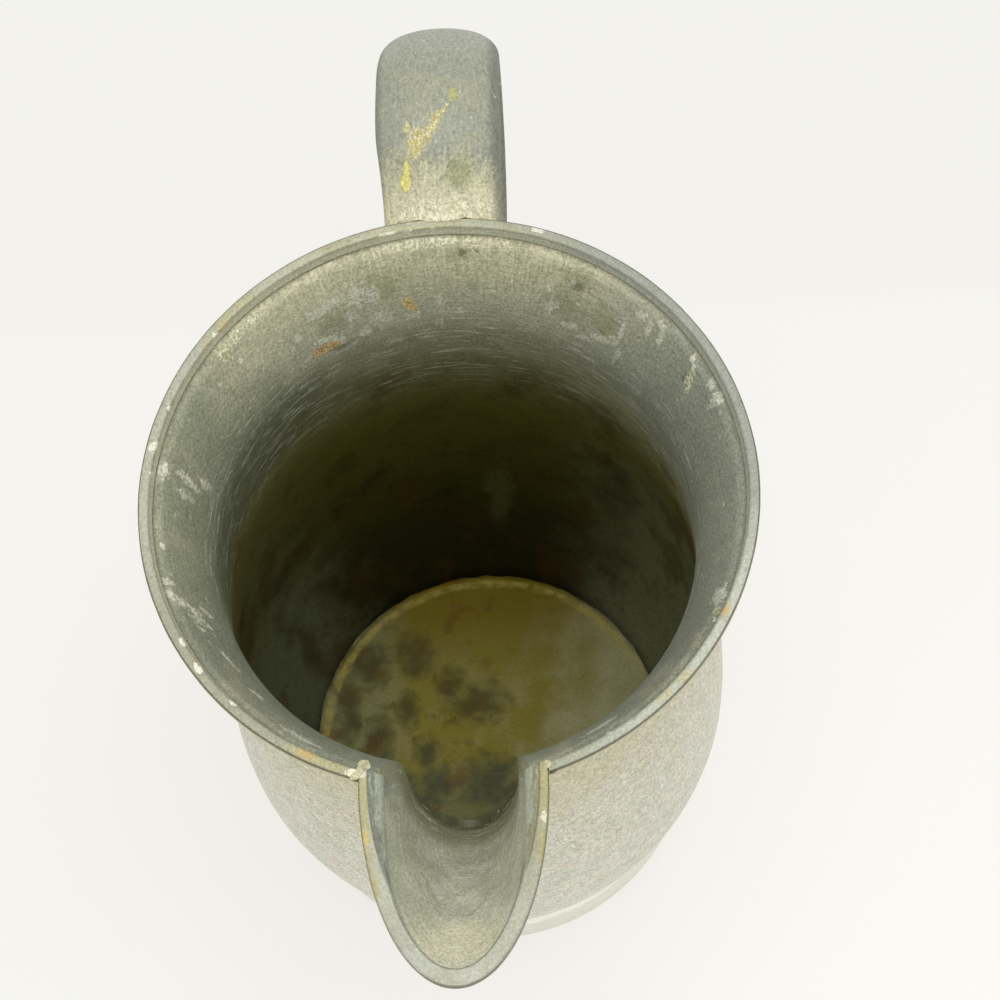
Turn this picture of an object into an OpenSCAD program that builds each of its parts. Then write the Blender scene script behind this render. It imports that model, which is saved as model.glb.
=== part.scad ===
// Pewter pitcher. The waisted body is two shells lapped and soldered at the belly, with a floor
// plate let into a cast foot ring. A flat band stiffens the rim, a bent sheet spout is soldered
// over a notch in the neck, and the strap handle is two hollow halves soldered along its sides.
// Millimetres. The origin is on the body's axis in the standing plane, +Z is up, the spout
// points along -Y and the handle along +Y.

/* [Body] */
// Height from the table to the top of the rim
pot_h = 151; // [140:1:165]
// How much smaller the throat's outer radius is than the rim's
throat_in = 8.1; // [6:0.1:10]
// Depth of the throat, the narrowest place of the neck, below the rim
throat_drop = 24; // [19:1:30]
// Outer radius of the belly at its widest place
belly_r = 51.9; // [49:0.1:56]
// Height of the widest place of the belly, where the two shells are lapped
belly_h = 50; // [44:0.5:58]
// Outer radius of the body at its lower edge
base_r = 42.2; // [40:0.1:44]
// Thickness of the body's wall
wall = 2; // [1.6:0.1:2.4]
// Height of the lap between the two shells
lap_h = 3; // [2:0.5:5]
// Thickness of the floor plate
floor_t = 2; // [1.5:0.1:3]

/* [Rim] */
// Outer radius of the rim band
rim_r = 54; // [52:0.1:57]
// Width of the flat top of the rim band
rim_w = 2.2; // [1.8:0.1:3]
// Height of the rim band
rim_h = 2; // [1.5:0.1:3]
// How far the rim band stands out past the neck
rim_proud = 0.8; // [0.4:0.1:1.2]

/* [Foot] */
// Outer radius of the foot ring where it stands
foot_r = 45.9; // [45:0.1:48]
// Height of the foot ring's outer side
foot_h = 6.5; // [5:0.5:8]
// How far the outer side leans in over its height
foot_lean = 0.9; // [0.5:0.1:1.2]
// Height of the collar's top edge, which hugs the body
collar_h = 10; // [9:0.5:12]
// Thickness of the collar at its top edge
collar_t = 0.6; // [0.4:0.1:1]
// Width of the flat ring that the pitcher stands on
stand_w = 5; // [4:0.5:6]
// Height of the ledge that carries the body and the floor plate
ledge_h = 4; // [3:0.5:5]
// Width of the ledge under the floor plate
ledge_w = 3; // [2:0.5:4]

/* [Spout] */
// How far the tip of the spout stands out past the rim
spout_out = 32.5; // [26:0.5:40]
// Width over the spout band where it leaves the rim
spout_w = 31.4; // [29:0.2:34]
// Height of the tip above the rim
spout_rise = 2.5; // [0:0.5:6]
// Width of the flat band on the spout's edge
lip_w = 3; // [2.4:0.1:3.6]
// Thickness of the spout's sheet, seen from above at its side
sheet_t = 1.6; // [1.2:0.1:2]
// Step between the band's inner edge and the face of the trough
lip_step = 0.4; // [0.2:0.1:0.6]
// How far the keel curves in from a straight line
keel_curve = 2.5; // [0:0.5:4]
// Depth of the notch's lowest point below the rim
notch_drop = 50; // [45:1:55]
// Depth of the notch's straight sides below the rim
notch_side_drop = 26.5; // [23:0.5:32]
// Width of the notch in the throat
notch_w = 20; // [17:0.5:22]
// Width of the notch at the rim
notch_top_w = 26; // [23:0.2:27]

/* [Handle] */
// How far the handle's outermost point stands out past the rim
handle_out = 47; // [40:0.5:54]
// Depth of the handle's outermost point below the rim
handle_out_drop = 15; // [9:1:25]
// Height of the handle's crest above the rim
crest_rise = 11; // [8:0.5:15]
// How far the crest stands out past the rim
crest_out = 18; // [14:0.5:24]
// Height above the table at which the handle's lower face reaches the belly
handle_foot_h = 46; // [42:1:52]
// Width of the handle where it leaves the rim
handle_root_w = 21.8; // [20:0.2:24]
// Width of the handle at its crest
handle_w = 23.2; // [22:0.1:26]
// Width of the handle at its outermost point
handle_out_w = 22.6; // [20:0.2:25]
// Width of the handle at the belly
handle_foot_w = 17; // [15:0.5:20]
// Height of the handle's domed outer half
dome_h = 6; // [5:0.1:7]
// Depth of the handle's flatter inner half
back_h = 2.2; // [1.8:0.1:3]
// Thickness of the handle's hollow halves
handle_t = 1.4; // [1:0.1:1.8]
// Slope of the handle where it leaves the rim, in degrees
spring_angle = 35; // [28:1:42]
// Slope of the handle where it reaches the belly, in degrees
landing_angle = 25; // [15:1:35]

/* [Solder] */
// How far the solder spreads beside a joint
solder_w = 1.2; // [0.8:0.1:1.6]
// How far the solder stands off the body
solder_h = 0.7; // [0.4:0.1:1]

/* [Hidden] */

// Facets of a full turn
$fn = 144;
// Straight steps in one stretch of the body's profile
profile_steps = 14;
// Steps along half of the spout's edge, and from its root to its edge
edge_steps = 18;
rise_steps = 8;
// Steps along each of the handle's three stretches, and round half of its section
handle_steps = [5, 11, 15];
section_steps = 16;

// Film of solder left in a joint
film = 0.05;
// Overrun of a cut past the face that it opens
over = 1;
// Chamfer on the edges of both bands
band_edge = 0.35;

// Shape of the profile below the belly, and of the flare above the throat
belly_power = 1.55;
flare_power = 1.7;
// Roundness of the handle's outer and inner halves, where 2 is an ellipse
dome_power = 2.2;
back_power = 3.2;

throat_r = rim_r - throat_in;
throat_h = pot_h - throat_drop;
neck_top_r = rim_r - rim_proud;
neck_top_h = pot_h - rim_h;
rim_inner_r = rim_r - rim_w;
foot_top_r = foot_r - foot_lean;

spout_reach = rim_r + spout_out;
notch_h = pot_h - notch_drop;
notch_side_h = pot_h - notch_side_drop;
// Where the spout's edge leaves the rim's circle, and half its width inside the band
lip_root_y = sqrt(pow(rim_r, 2) - pow(spout_w / 2, 2));
lip_inner = spout_w / 2 - lip_w;
lip_reach = spout_reach - lip_root_y - lip_w;
// Slope of the keel, which makes the sheet look thicker down the keel than at its sides
keel_slope = atan2(neck_top_h - notch_h, lip_reach);
sheet_drop = sheet_t / cos(keel_slope);
sheet_reach = sheet_t / sin(keel_slope);
// Share of the spout's edge that springs from the notch's straight side
side_share = 0.47;
// Steps of the spout's edge that its solder leaves free at each end, and the fillet's hollow
solder_start = 2;
fillet_share = 0.25;

// The handle's outer face in the YZ plane: rim, crest, outermost point and belly
rim_lap = 0.8;
crest_y = rim_r + crest_out;
handle_reach = rim_r + handle_out;
handle_out_h = pot_h - handle_out_drop;
root_point = [rim_r - rim_lap, pot_h];
crest_point = [crest_y, pot_h + crest_rise];
out_point = [handle_reach, handle_out_h];
foot_point = [belly_r - wall, handle_foot_h];
root_dir = [cos(spring_angle), sin(spring_angle)];
foot_dir = [cos(landing_angle), sin(landing_angle)];
// Lengths of the curves' arms, as shares of the stretches that they bend
root_arm_share = 0.42;
crest_arm_share = 0.58;
bend_share = 0.55;
drop_arm_share = 0.47;
foot_arm_share = 0.5;
crest_y_span = crest_y - root_point[0];
handle_path = [
    [
        root_point,
        root_point + root_dir * root_arm_share * crest_y_span,
        crest_point - [crest_arm_share * crest_y_span, 0],
        crest_point
    ],
    [
        crest_point,
        crest_point + [bend_share * (handle_reach - crest_y), 0],
        out_point + [0, bend_share * (crest_point[1] - handle_out_h)],
        out_point
    ],
    [
        out_point,
        out_point - [0, drop_arm_share * (handle_out_h - handle_foot_h)],
        foot_point + foot_dir * foot_arm_share * (handle_reach - foot_point[0]),
        foot_point
    ]
];
handle_widths = [handle_root_w, handle_w, handle_out_w, handle_foot_w];
// How far the handle's ends run into the body before they are cut to fit it
handle_run = 2 * (dome_h + back_h);

function lerp(a, b, share) = a + (b - a) * share;
function ease(share) = (1 - cos(180 * share)) / 2;
function unit(v) = v / norm(v);
function bezier(p, s) = pow(1 - s, 3) * p[0] + 3 * pow(1 - s, 2) * s * p[1]
    + 3 * (1 - s) * pow(s, 2) * p[2] + pow(s, 3) * p[3];
function bezier_dir(p, s) = unit(pow(1 - s, 2) * (p[1] - p[0]) + 2 * (1 - s) * s * (p[2] - p[1])
    + pow(s, 2) * (p[3] - p[2]));

// Outer radius of the body at a height
function body_r(h) = h < belly_h
    ? lerp(belly_r, base_r, pow((belly_h - h) / (belly_h - ledge_h), belly_power))
    : h < throat_h
        ? lerp(belly_r, throat_r, ease((h - belly_h) / (throat_h - belly_h)))
        : lerp(throat_r, neck_top_r, pow((h - throat_h) / (neck_top_h - throat_h), flare_power));

// Points along the body's wall from one height to another, set in from its outer face
function wall_line(from, to, inset) = [
    for (i = [0:profile_steps])
        let (h = lerp(from, to, i / profile_steps)) [body_r(h) - inset, h]
];

// Section of a flat band between two radii, with its edges broken
function band_section(inner, outer, low, high) = [
    [inner, high - band_edge], [inner + band_edge, high],
    [outer - band_edge, high], [outer, high - band_edge],
    [outer, low + band_edge], [outer - band_edge, low],
    [inner + band_edge, low], [inner, low + band_edge]
];

// The body without its hollow, grown by a skin, for cutting what is soldered to it
module body_block(grow, top_r, top_h) {
    rotate_extrude()
        polygon(concat(
            [[0, ledge_h]],
            wall_line(ledge_h, belly_h, -grow),
            wall_line(belly_h, throat_h, -grow),
            wall_line(throat_h, neck_top_h, -grow),
            [[top_r + grow, neck_top_h], [top_r + grow, top_h], [0, top_h]]
        ));
}

// A solid through loops of points. Each loop runs out along one face and back along the other.
module loft(loops) {
    n = len(loops[0]);
    last = (len(loops) - 1) * n;
    polyhedron(
        points = [for (loop = loops) each loop],
        faces = [
            for (k = [0:n / 2 - 2]) each [[k, k + 1, n - 2 - k], [k, n - 2 - k, n - 1 - k]],
            for (i = [0:len(loops) - 2], j = [0:n - 1])
                let (a = i * n + j, b = i * n + (j + 1) % n) each [[b, a, a + n], [b, a + n, b + n]],
            for (k = [0:n / 2 - 2])
                each [
                    [last + k + 1, last + k, last + n - 2 - k],
                    [last + n - 2 - k, last + k, last + n - 1 - k]
                ]
        ]
    );
}

// Half width of the notch at a height
function notch_half_w(h) = h < notch_side_h
    ? notch_w / 2 * sqrt(1 - pow((notch_side_h - h) / (notch_side_h - notch_h), 2))
    : lerp(notch_w, notch_top_w, pow((h - notch_side_h) / (pot_h - notch_side_h), 2)) / 2;

// Outline of the notch, as [x, height], from its top at 0 to its lowest point at 1
function notch_point(g, side, drop) = g < side_share
    ? let (h = lerp(neck_top_h, notch_side_h, g / side_share)) [notch_half_w(h) + side, h]
    : let (a = 90 * (g - side_share) / (1 - side_share))
        [(notch_w / 2 + side) * cos(a), notch_side_h - (notch_side_h - notch_h + drop) * sin(a)];

// A point on that outline, grown by a side and a drop, at a depth off the body's outer face
function spout_root(g, side, drop, depth) =
    let (p = notch_point(g, side, drop), r = body_r(p[1]) + depth)
        [p[0], -sqrt(pow(r, 2) - pow(p[0], 2)), p[1]];

// Height that the spout's edge has gained on its way from the rim to the tip
function edge_rise(g) = spout_rise * ease(g);

// A point of the spout's edge, set out from the band's inner edge, in plan and height
function spout_edge(g, side, reach, h) = [
    (lip_inner + side) * cos(90 * g), -lip_root_y - (lip_reach + reach) * sin(90 * g), h + edge_rise(g)
];

// A point of the sheet, between its root inside the neck's wall at 0 and its edge at 1
function sheet_point(g, u, side, reach, drop) =
    lerp(
        spout_root(g, side, drop, -wall / 2),
        spout_edge(g, side + lip_step, reach + lip_step, neck_top_h - film),
        u
    )
    + keel_curve * sin(180 * u) * pow(g, 2) * [0, sin(keel_slope), cos(keel_slope)];

function inner_point(g, u) = sheet_point(g, u, 0, 0, 0);
function outer_point(g, u, skin) = sheet_point(g, u, sheet_t + skin, sheet_reach + skin, sheet_drop + skin);
function flipped(p, i) = [i < 0 ? -p[0] : p[0], p[1], p[2]];

// Width of the handle in one of its stretches
function handle_width(part, s) = lerp(handle_widths[part], handle_widths[part + 1], ease(s));

// Half of the handle's section, from one side to the other: grown by a skin, and lifted off the seam
function half_section(w, h, power, grow, lift) = [
    for (i = [0:section_steps])
        let (a = 180 * i / section_steps)
            [
                (w / 2 + grow) * sign(cos(a)) * pow(abs(cos(a)), 2 / power),
                sign(h) * lift + (h + sign(h) * grow) * pow(sin(a), 2 / power)
            ]
];

// One loop of the handle: a section set square to the path at a point, running on past it if asked
function handle_loop(section, at, dir) = [
    for (q = section)
        let (d = dome_h - q[1]) [q[0], at[0] + d * dir[1], at[1] - d * dir[0]]
];

// Stations along the handle: its width, a point on its outer face, and its direction there
function handle_stations(from, to) = concat(
    from == 0
        ? [[handle_widths[0], handle_path[0][0] - handle_run * bezier_dir(handle_path[0], 0),
            bezier_dir(handle_path[0], 0)]]
        : [],
    [
        for (part = [from:to], i = [0:handle_steps[part]])
            if (part == from || i > 0)
                let (s = i / handle_steps[part])
                    [handle_width(part, s), bezier(handle_path[part], s), bezier_dir(handle_path[part], s)]
    ],
    to == 2
        ? [[handle_widths[3], handle_path[2][3] + handle_run * bezier_dir(handle_path[2], 1),
            bezier_dir(handle_path[2], 1)]]
        : []
);

// A half of the handle, hollow on the side of the seam
module handle_half(h, power) {
    hollow = h - sign(h) * handle_t;
    loft([
        for (st = handle_stations(0, 2))
            let (
                face = half_section(st[0], h, power, 0, 0),
                inside = half_section(st[0] - 2 * handle_t, hollow, power, 0, 0)
            )
                handle_loop(
                    h < 0 ? concat(face, reversed(inside)) : concat(reversed(face), inside),
                    st[1], st[2]
                )
    ]);
}

function reversed(list) = [for (i = [len(list) - 1:-1:0]) list[i]];

// The handle without its hollow, over some of its stretches, grown by a skin
module handle_block(grow, from, to) {
    loft([
        for (st = handle_stations(from, to))
            handle_loop(
                concat(
                    reversed(half_section(st[0], dome_h, dome_power, grow, film)),
                    half_section(st[0], -back_h, back_power, grow, film)
                ),
                st[1], st[2]
            )
    ]);
}

// Solder where the handle meets the body, below the rim band
module handle_joint(from, to) {
    difference() {
        intersection() {
            handle_block(solder_w, from, to);
            body_block(solder_h, neck_top_r, pot_h);
            cylinder(h = neck_top_h - film, r = handle_reach);
        }
        handle_block(film, from, to);
        body_block(film, neck_top_r, pot_h);
    }
}

// Upper body, from the lap at the belly to the seat of the rim band, notched for the spout
module neck_shell() {
    color("#8f8f80")
        difference() {
            rotate_extrude()
                polygon(concat(
                    wall_line(belly_h, throat_h, 0),
                    wall_line(throat_h, neck_top_h, 0),
                    wall_line(neck_top_h, throat_h, wall),
                    wall_line(throat_h, belly_h + lap_h, wall),
                    wall_line(belly_h + lap_h, belly_h, wall / 2)
                ));
            rotate([90, 0, 0])
                linear_extrude(rim_r + over)
                    polygon(notch_outline());
        }
}

// The notch's outline in the XZ plane, closed above the rim
function notch_outline() =
    let (half = [for (i = [0:2 * edge_steps]) notch_point(i / (2 * edge_steps), 0, 0)])
        concat(
            [[notch_top_w / 2, pot_h]],
            half,
            [for (i = [2 * edge_steps - 1:-1:0]) [-half[i][0], half[i][1]]],
            [[-notch_top_w / 2, pot_h]]
        );

// Lower body, from the foot ring's ledge to the lap
module belly_shell() {
    color("#9a9685")
        rotate_extrude()
            polygon(concat(
                wall_line(ledge_h, belly_h, 0),
                wall_line(belly_h, belly_h + lap_h - film, wall / 2 + film),
                wall_line(belly_h + lap_h - film, ledge_h, wall)
            ));
}

// Floor plate, let into the body's lower edge and carried by the ledge
module floor_plate() {
    color("#6f6a45")
        translate([0, 0, ledge_h])
            cylinder(h = floor_t, r = base_r - wall - film);
}

// Cast foot ring with the ledge inside and a collar round the body
module foot_ring() {
    collar_r = body_r(collar_h) + film + collar_t;
    cove = [
        for (a = [0:15:90])
            [
                foot_top_r - (foot_top_r - collar_r) * sin(a),
                collar_h - (collar_h - foot_h) * cos(a)
            ]
    ];
    color("#8c897b")
        rotate_extrude()
            polygon(concat(
                [[foot_r - stand_w, 0], [foot_r - band_edge, 0], [foot_r, band_edge]],
                cove,
                wall_line(collar_h, ledge_h, -film),
                [[base_r - wall - ledge_w, ledge_h]]
            ));
}

// Flat band on the neck's top edge, open where the spout leaves
module rim_band() {
    color("#a3a298")
        difference() {
            rotate_extrude()
                polygon(band_section(rim_inner_r, rim_r, neck_top_h, pot_h));
            translate([-spout_w / 2 - film, -rim_r - over, neck_top_h - over])
                cube([spout_w + 2 * film, rim_r + over, rim_h + 2 * over]);
        }
}

// Bent sheet of the spout, cut to the body's outer face
module spout_shell() {
    color("#90907f")
        difference() {
            loft([
                for (i = [-edge_steps:edge_steps])
                    let (g = 1 - abs(i) / edge_steps) [
                        for (k = [0:rise_steps]) flipped(inner_point(g, k / rise_steps), i),
                        for (k = [rise_steps:-1:0]) flipped(outer_point(g, k / rise_steps, 0), i)
                    ]
            ]);
            body_block(film, neck_top_r, pot_h);
        }
}

// Flat band on the spout's edge, carried on round the mouth as far as the rim's inner face
module spout_band() {
    section = band_section(0, lip_w, 0, rim_h);
    mouth_run = rim_w + lip_w;
    plan = [
        for (i = [-edge_steps - 1:edge_steps + 1])
            let (g = max(0, 1 - abs(i) / edge_steps), back = abs(i) > edge_steps)
                [for (q = section)
                    flipped(spout_edge(g, q[0], q[0], neck_top_h + q[1]), i) + [0, back ? mouth_run : 0, 0]]
    ];
    color("#a8a79b")
        difference() {
            loft(plan);
            translate([0, 0, neck_top_h - over])
                cylinder(h = rim_h + 2 * over, r = rim_inner_r);
        }
}

// Solder fillet along the outside of the spout's root
module spout_solder() {
    spread = sheet_t + film + solder_w;
    color("#b5b3a6")
        loft([
            for (i = [solder_start - edge_steps:edge_steps - solder_start])
                let (
                    g = 1 - abs(i) / edge_steps,
                    corner = spout_root(g, sheet_t + film, sheet_drop + film, film),
                    foot = spout_root(g, spread, sheet_drop + film + solder_w, film),
                    length = norm(outer_point(g, 1, film) - outer_point(g, 0, film)),
                    top = outer_point(g, (wall / 2 + solder_w) / length, film),
                    middle = lerp((foot + top) / 2, corner, fillet_share)
                )
                    [for (p = [corner, foot, middle, top]) flipped(p, i)]
        ]);
}

module handle_outer() {
    color("#878a7b")
        difference() {
            handle_half(dome_h, dome_power);
            body_block(film, rim_r, pot_h + film);
        }
}

module handle_inner() {
    color("#7d7f72")
        difference() {
            handle_half(-back_h, back_power);
            body_block(film, rim_r, pot_h + film);
        }
}

module handle_top_solder() {
    color("#b5b3a6")
        handle_joint(0, 0);
}

module handle_foot_solder() {
    color("#b5b3a6")
        handle_joint(2, 2);
}

neck_shell();
belly_shell();
floor_plate();
foot_ring();
rim_band();
spout_shell();
spout_band();
spout_solder();
handle_outer();
handle_inner();
handle_top_solder();
handle_foot_solder();
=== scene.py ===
# %% [markdown]
# # A pewter pitcher
#
# This lesson dresses a small handmade pitcher. Its body is two round shells, soldered together at
# the belly. A cast foot ring carries it, a flat band stiffens its rim, a bent sheet makes the
# spout, and two hollow halves make the handle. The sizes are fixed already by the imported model, so
# the work here is a smoother mesh for each piece, and then its finish: grey pewter with brown and
# olive stains inside, cream and ochre crusts near the rim, and fine scratches.
#
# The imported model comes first, because every new piece has to stand where its node stands.

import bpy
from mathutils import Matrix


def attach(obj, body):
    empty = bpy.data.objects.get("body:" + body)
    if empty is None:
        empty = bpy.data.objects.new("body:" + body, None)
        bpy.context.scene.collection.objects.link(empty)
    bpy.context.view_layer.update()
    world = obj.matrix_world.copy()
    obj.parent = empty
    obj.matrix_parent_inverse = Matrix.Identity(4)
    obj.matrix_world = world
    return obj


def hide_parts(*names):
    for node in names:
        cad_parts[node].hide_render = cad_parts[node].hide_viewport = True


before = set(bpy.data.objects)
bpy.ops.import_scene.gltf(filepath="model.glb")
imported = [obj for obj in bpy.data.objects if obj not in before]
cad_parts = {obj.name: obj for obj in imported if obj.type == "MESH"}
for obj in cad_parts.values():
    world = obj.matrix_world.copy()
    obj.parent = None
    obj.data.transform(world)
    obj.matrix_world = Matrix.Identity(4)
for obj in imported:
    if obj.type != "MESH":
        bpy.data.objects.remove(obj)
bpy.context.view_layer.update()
print("nodes:", sorted(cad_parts))

# %% [markdown]
# ## The camera
#
# The photograph looks steeply down into the mouth from in front of the spout. The camera was fitted
# to the circles of the rim, the floor and the foot, so it is given by its place and its three
# directions, and not by an aim. A 79.2 mm lens on a 36 mm sensor is the fitted focal length.

# %% Camera
import random
from itertools import takewhile
from math import atan2, cos, degrees, hypot, pi, radians, sin, sqrt, tau

import bmesh
import bpy
from mathutils import Matrix, Vector

CAMERA_PLACE = Vector((0.0212, -0.1539, 0.4990))
CAMERA_BACK = Vector((0.0319, -0.3982, 0.9167)).normalized()
CAMERA_RIGHT = Vector((0.9985, -0.0285, -0.0471)).normalized()
CAMERA_UP = CAMERA_BACK.cross(CAMERA_RIGHT).normalized()
SENSOR_W, LENS = 36, 79.2

turned = Matrix((CAMERA_UP.cross(CAMERA_BACK), CAMERA_UP, CAMERA_BACK)).transposed()
bpy.ops.object.camera_add(location=CAMERA_PLACE, rotation=turned.to_euler())
camera = bpy.context.object
camera.name = "camera"
camera.data.sensor_width = SENSOR_W
camera.data.lens = LENS
bpy.context.scene.camera = camera
print("camera looks along", [round(v, 3) for v in -CAMERA_BACK])

# %% [markdown]
# ## Sizes
#
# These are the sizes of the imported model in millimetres, so that a new mesh lies exactly over its
# node. The body's outline is three eased curves, one above the other. Everything that touches the
# body asks this outline for its radius.

# %% Sizes of the body
MM = 0.001
POT_H, RIM_R, RIM_W, RIM_H, RIM_PROUD = 151, 54, 2.2, 2, 0.8
BELLY_R, BELLY_H, BASE_R = 51.9, 50, 42.2
THROAT_R, THROAT_H = RIM_R - 8.1, POT_H - 24
WALL, LAP_H, FLOOR_T, LEDGE_H = 2, 3, 2, 4
NECK_TOP_R, NECK_TOP_H = RIM_R - RIM_PROUD, POT_H - RIM_H
RIM_INNER_R = RIM_R - RIM_W
FILM = 0.05


def lerp(a, b, share):
    """The value that lies a share of the way from a to b."""
    return a + (b - a) * share


def ease(share):
    """A share that starts and ends gently."""
    return (1 - cos(pi * share)) / 2


def body_r(h):
    """Outer radius of the body at a height."""
    if h < BELLY_H:
        return lerp(BELLY_R, BASE_R, ((BELLY_H - h) / (BELLY_H - LEDGE_H)) ** 1.55)
    if h < THROAT_H:
        return lerp(BELLY_R, THROAT_R, ease((h - BELLY_H) / (THROAT_H - BELLY_H)))
    return lerp(THROAT_R, NECK_TOP_R, (min(1, (h - THROAT_H) / (NECK_TOP_H - THROAT_H))) ** 1.7)


def wall_line(low, high, inset, steps):
    """Points down or up the body's wall, set in from its outer face."""
    heights = [lerp(low, high, i / steps) for i in range(steps + 1)]
    return [(body_r(h) - inset, h) for h in heights]


print("throat", THROAT_R, "mm at", THROAT_H, "mm; belly", BELLY_R, "mm at", BELLY_H, "mm")

# %% [markdown]
# ## Turning a shell
#
# A lathe makes a round shell from one profile, and so does the spin operator. The profile is drawn
# as by hand: a plane is added, merged to one vertex, and that vertex is extruded from point to
# point. A closed profile spun all the way round gives a wall with a true thickness. The doubles at
# the seam are merged first and the normals are recalculated after that, because spin can leave a
# shell inside out.

# %% Helpers for drawn and turned meshes
TURN_STEPS = 256
MERGE = 2e-6


def choose(piece):
    """Select one piece alone and make it the active one."""
    bpy.ops.object.select_all(action="DESELECT")
    piece.select_set(True)
    bpy.context.view_layer.objects.active = piece


def edit(piece):
    """Enter edit mode on one piece, with nothing else selected."""
    choose(piece)
    bpy.ops.object.mode_set(mode="EDIT")
    bpy.ops.mesh.select_mode(type="VERT")


def leave():
    """Go back to object mode."""
    bpy.ops.object.mode_set(mode="OBJECT")


def take_all():
    """In edit mode, select everything."""
    bpy.ops.mesh.select_all(action="SELECT")


def draw(points):
    """Merge the plane just added to one vertex, take it to the first point and extrude it along the rest."""
    bpy.ops.mesh.merge(type="CENTER")
    bpy.ops.transform.translate(value=points[0])
    for a, b in zip(points, points[1:]):
        bpy.ops.mesh.extrude_vertices_move(TRANSFORM_OT_translate={"value": b - a})


def start(name, points):
    """A new mesh of one drawn line, in metres. It is left in edit mode."""
    bpy.ops.object.select_all(action="DESELECT")
    bpy.ops.mesh.primitive_plane_add(size=MM)
    piece = bpy.context.object
    piece.name = piece.data.name = name
    bpy.ops.object.mode_set(mode="EDIT")
    bpy.ops.mesh.select_mode(type="VERT")
    draw(points)
    return piece


def close_up():
    """Merge doubles all over, point the faces outwards and leave edit mode."""
    take_all()
    bpy.ops.mesh.remove_doubles(threshold=MERGE)
    bpy.ops.mesh.normals_make_consistent(inside=False)
    leave()


def fill_ends():
    """Fill the open ends of the piece that is being edited, and close it up."""
    take_all()
    bpy.ops.mesh.fill_holes(sides=0)
    close_up()


def turn(name, profile, steps=TURN_STEPS):
    """A closed profile of (radius, height) in millimetres, turned about the pitcher's axis."""
    piece = start(name, [Vector((r, 0, h)) * MM for r, h in profile + profile[:1]])
    take_all()
    bpy.ops.mesh.spin(steps=steps, angle=tau, center=(0, 0, 0), axis=(0, 0, 1))
    close_up()
    return piece


def apply(piece, kind, **settings):
    """Add one modifier with its settings and apply it."""
    choose(piece)
    modifier = piece.modifiers.new(kind, kind)
    for name, value in settings.items():
        setattr(modifier, name, value)
    bpy.ops.object.modifier_apply(modifier=kind)


def measure(piece):
    """Print a piece's faces, its open edges, its volume and its box, all in millimetres."""
    mesh = bmesh.new()
    mesh.from_mesh(piece.data)
    loose = sum(not edge.is_manifold for edge in mesh.edges)
    places = [v.co / MM for v in mesh.verts]
    low = [round(min(p[i] for p in places), 2) for i in range(3)]
    high = [round(max(p[i] for p in places), 2) for i in range(3)]
    print(piece.name, len(mesh.faces), "faces,", loose, "open edges,", end=" ")
    print(round(mesh.calc_volume(signed=True) / MM ** 3), "mm3, from", low, "to", high)
    mesh.free()


# %% [markdown]
# Old handwork is never quite true. A little displacement along the normals, from a soft cloud
# texture, gives each sheet its slight waves. It is a tenth of a millimetre or two, so it shows only
# where light grazes the metal, as it does on the real thing.

# %% Helper for handmade unevenness
clouds = {}


def wave(piece, strength, size, group=""):
    """Displace a piece by a soft cloud. Its strength and the size of its waves are in millimetres."""
    if size not in clouds:
        clouds[size] = bpy.data.textures.new("waves %g" % size, "CLOUDS")
        clouds[size].noise_scale = size * MM
        clouds[size].noise_depth = 2
    apply(
        piece, "DISPLACE", texture=clouds[size], texture_coords="LOCAL",
        strength=strength * MM, mid_level=0.5, vertex_group=group
    )


def smooth(piece, angle=40):
    """Shade a piece smooth, with creases where its faces turn by more than an angle."""
    choose(piece)
    bpy.ops.object.shade_smooth_by_angle(angle=radians(angle))


def stand_for(piece, slot, *nodes):
    """Say which body the piece rides on and which nodes it stands for. The slot is not used."""
    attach(piece, "root")
    if nodes:
        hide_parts(*nodes)
    measure(piece)


# %% [markdown]
# ## The neck
#
# The upper body runs from the lap at the belly through the throat to the rim. It is one turned
# shell. A spun profile is better here than a lathe modifier, because the closed profile gives the
# wall, the top edge and the lap in one go. Solder fills the corner under the rim band, so the inner
# top edge is eased to meet the band.

# %% Neck shell
EDGE = 0.15

neck_profile = (
    wall_line(BELLY_H + EDGE, THROAT_H, 0, 44)
    + wall_line(THROAT_H, NECK_TOP_H, 0, 16)[1:]
    + [(RIM_INNER_R - 0.02, NECK_TOP_H), (RIM_INNER_R - 0.16, NECK_TOP_H - 0.4)]
    + wall_line(NECK_TOP_H - 1, THROAT_H, WALL, 15)
    + wall_line(THROAT_H, BELLY_H + LAP_H, WALL, 40)[1:]
    + [(body_r(h) - WALL / 2, h) for h in (BELLY_H + LAP_H, BELLY_H + 1.5, BELLY_H)]
    + [(body_r(BELLY_H) - EDGE, BELLY_H)]
)
neck = turn("neck", neck_profile)
measure(neck)

# %% [markdown]
# The spout opens through a notch that was cut into the neck before the spout was soldered on. Its
# sides are nearly straight and its lower end is half an ellipse. The cutter is a circle that is
# flattened to that ellipse, opened at the top, extruded up to the rim and then forwards. A Boolean
# modifier takes it out of the neck.

# %% Sizes of the notch
NOTCH_H, NOTCH_SIDE_H = POT_H - 50, POT_H - 26.5
NOTCH_W, NOTCH_TOP_W = 20, 26
CUT_START, CUT_RUN = -20, -40


def notch_half_w(h):
    """Half the width of the notch at a height above its straight sides' lower end."""
    return lerp(NOTCH_W, NOTCH_TOP_W, ((h - NOTCH_SIDE_H) / (POT_H - NOTCH_SIDE_H)) ** 2) / 2


def pick(mesh, found):
    """In edit mode, select only the vertices or edges that were found. Give their number."""
    for part in (mesh.faces, mesh.edges, mesh.verts):
        for item in part:
            item.select = False
    for item in found:
        item.select = True
    mesh.select_flush(True)
    bmesh.update_edit_mesh(bpy.context.object.data)
    return len(found)


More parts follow.
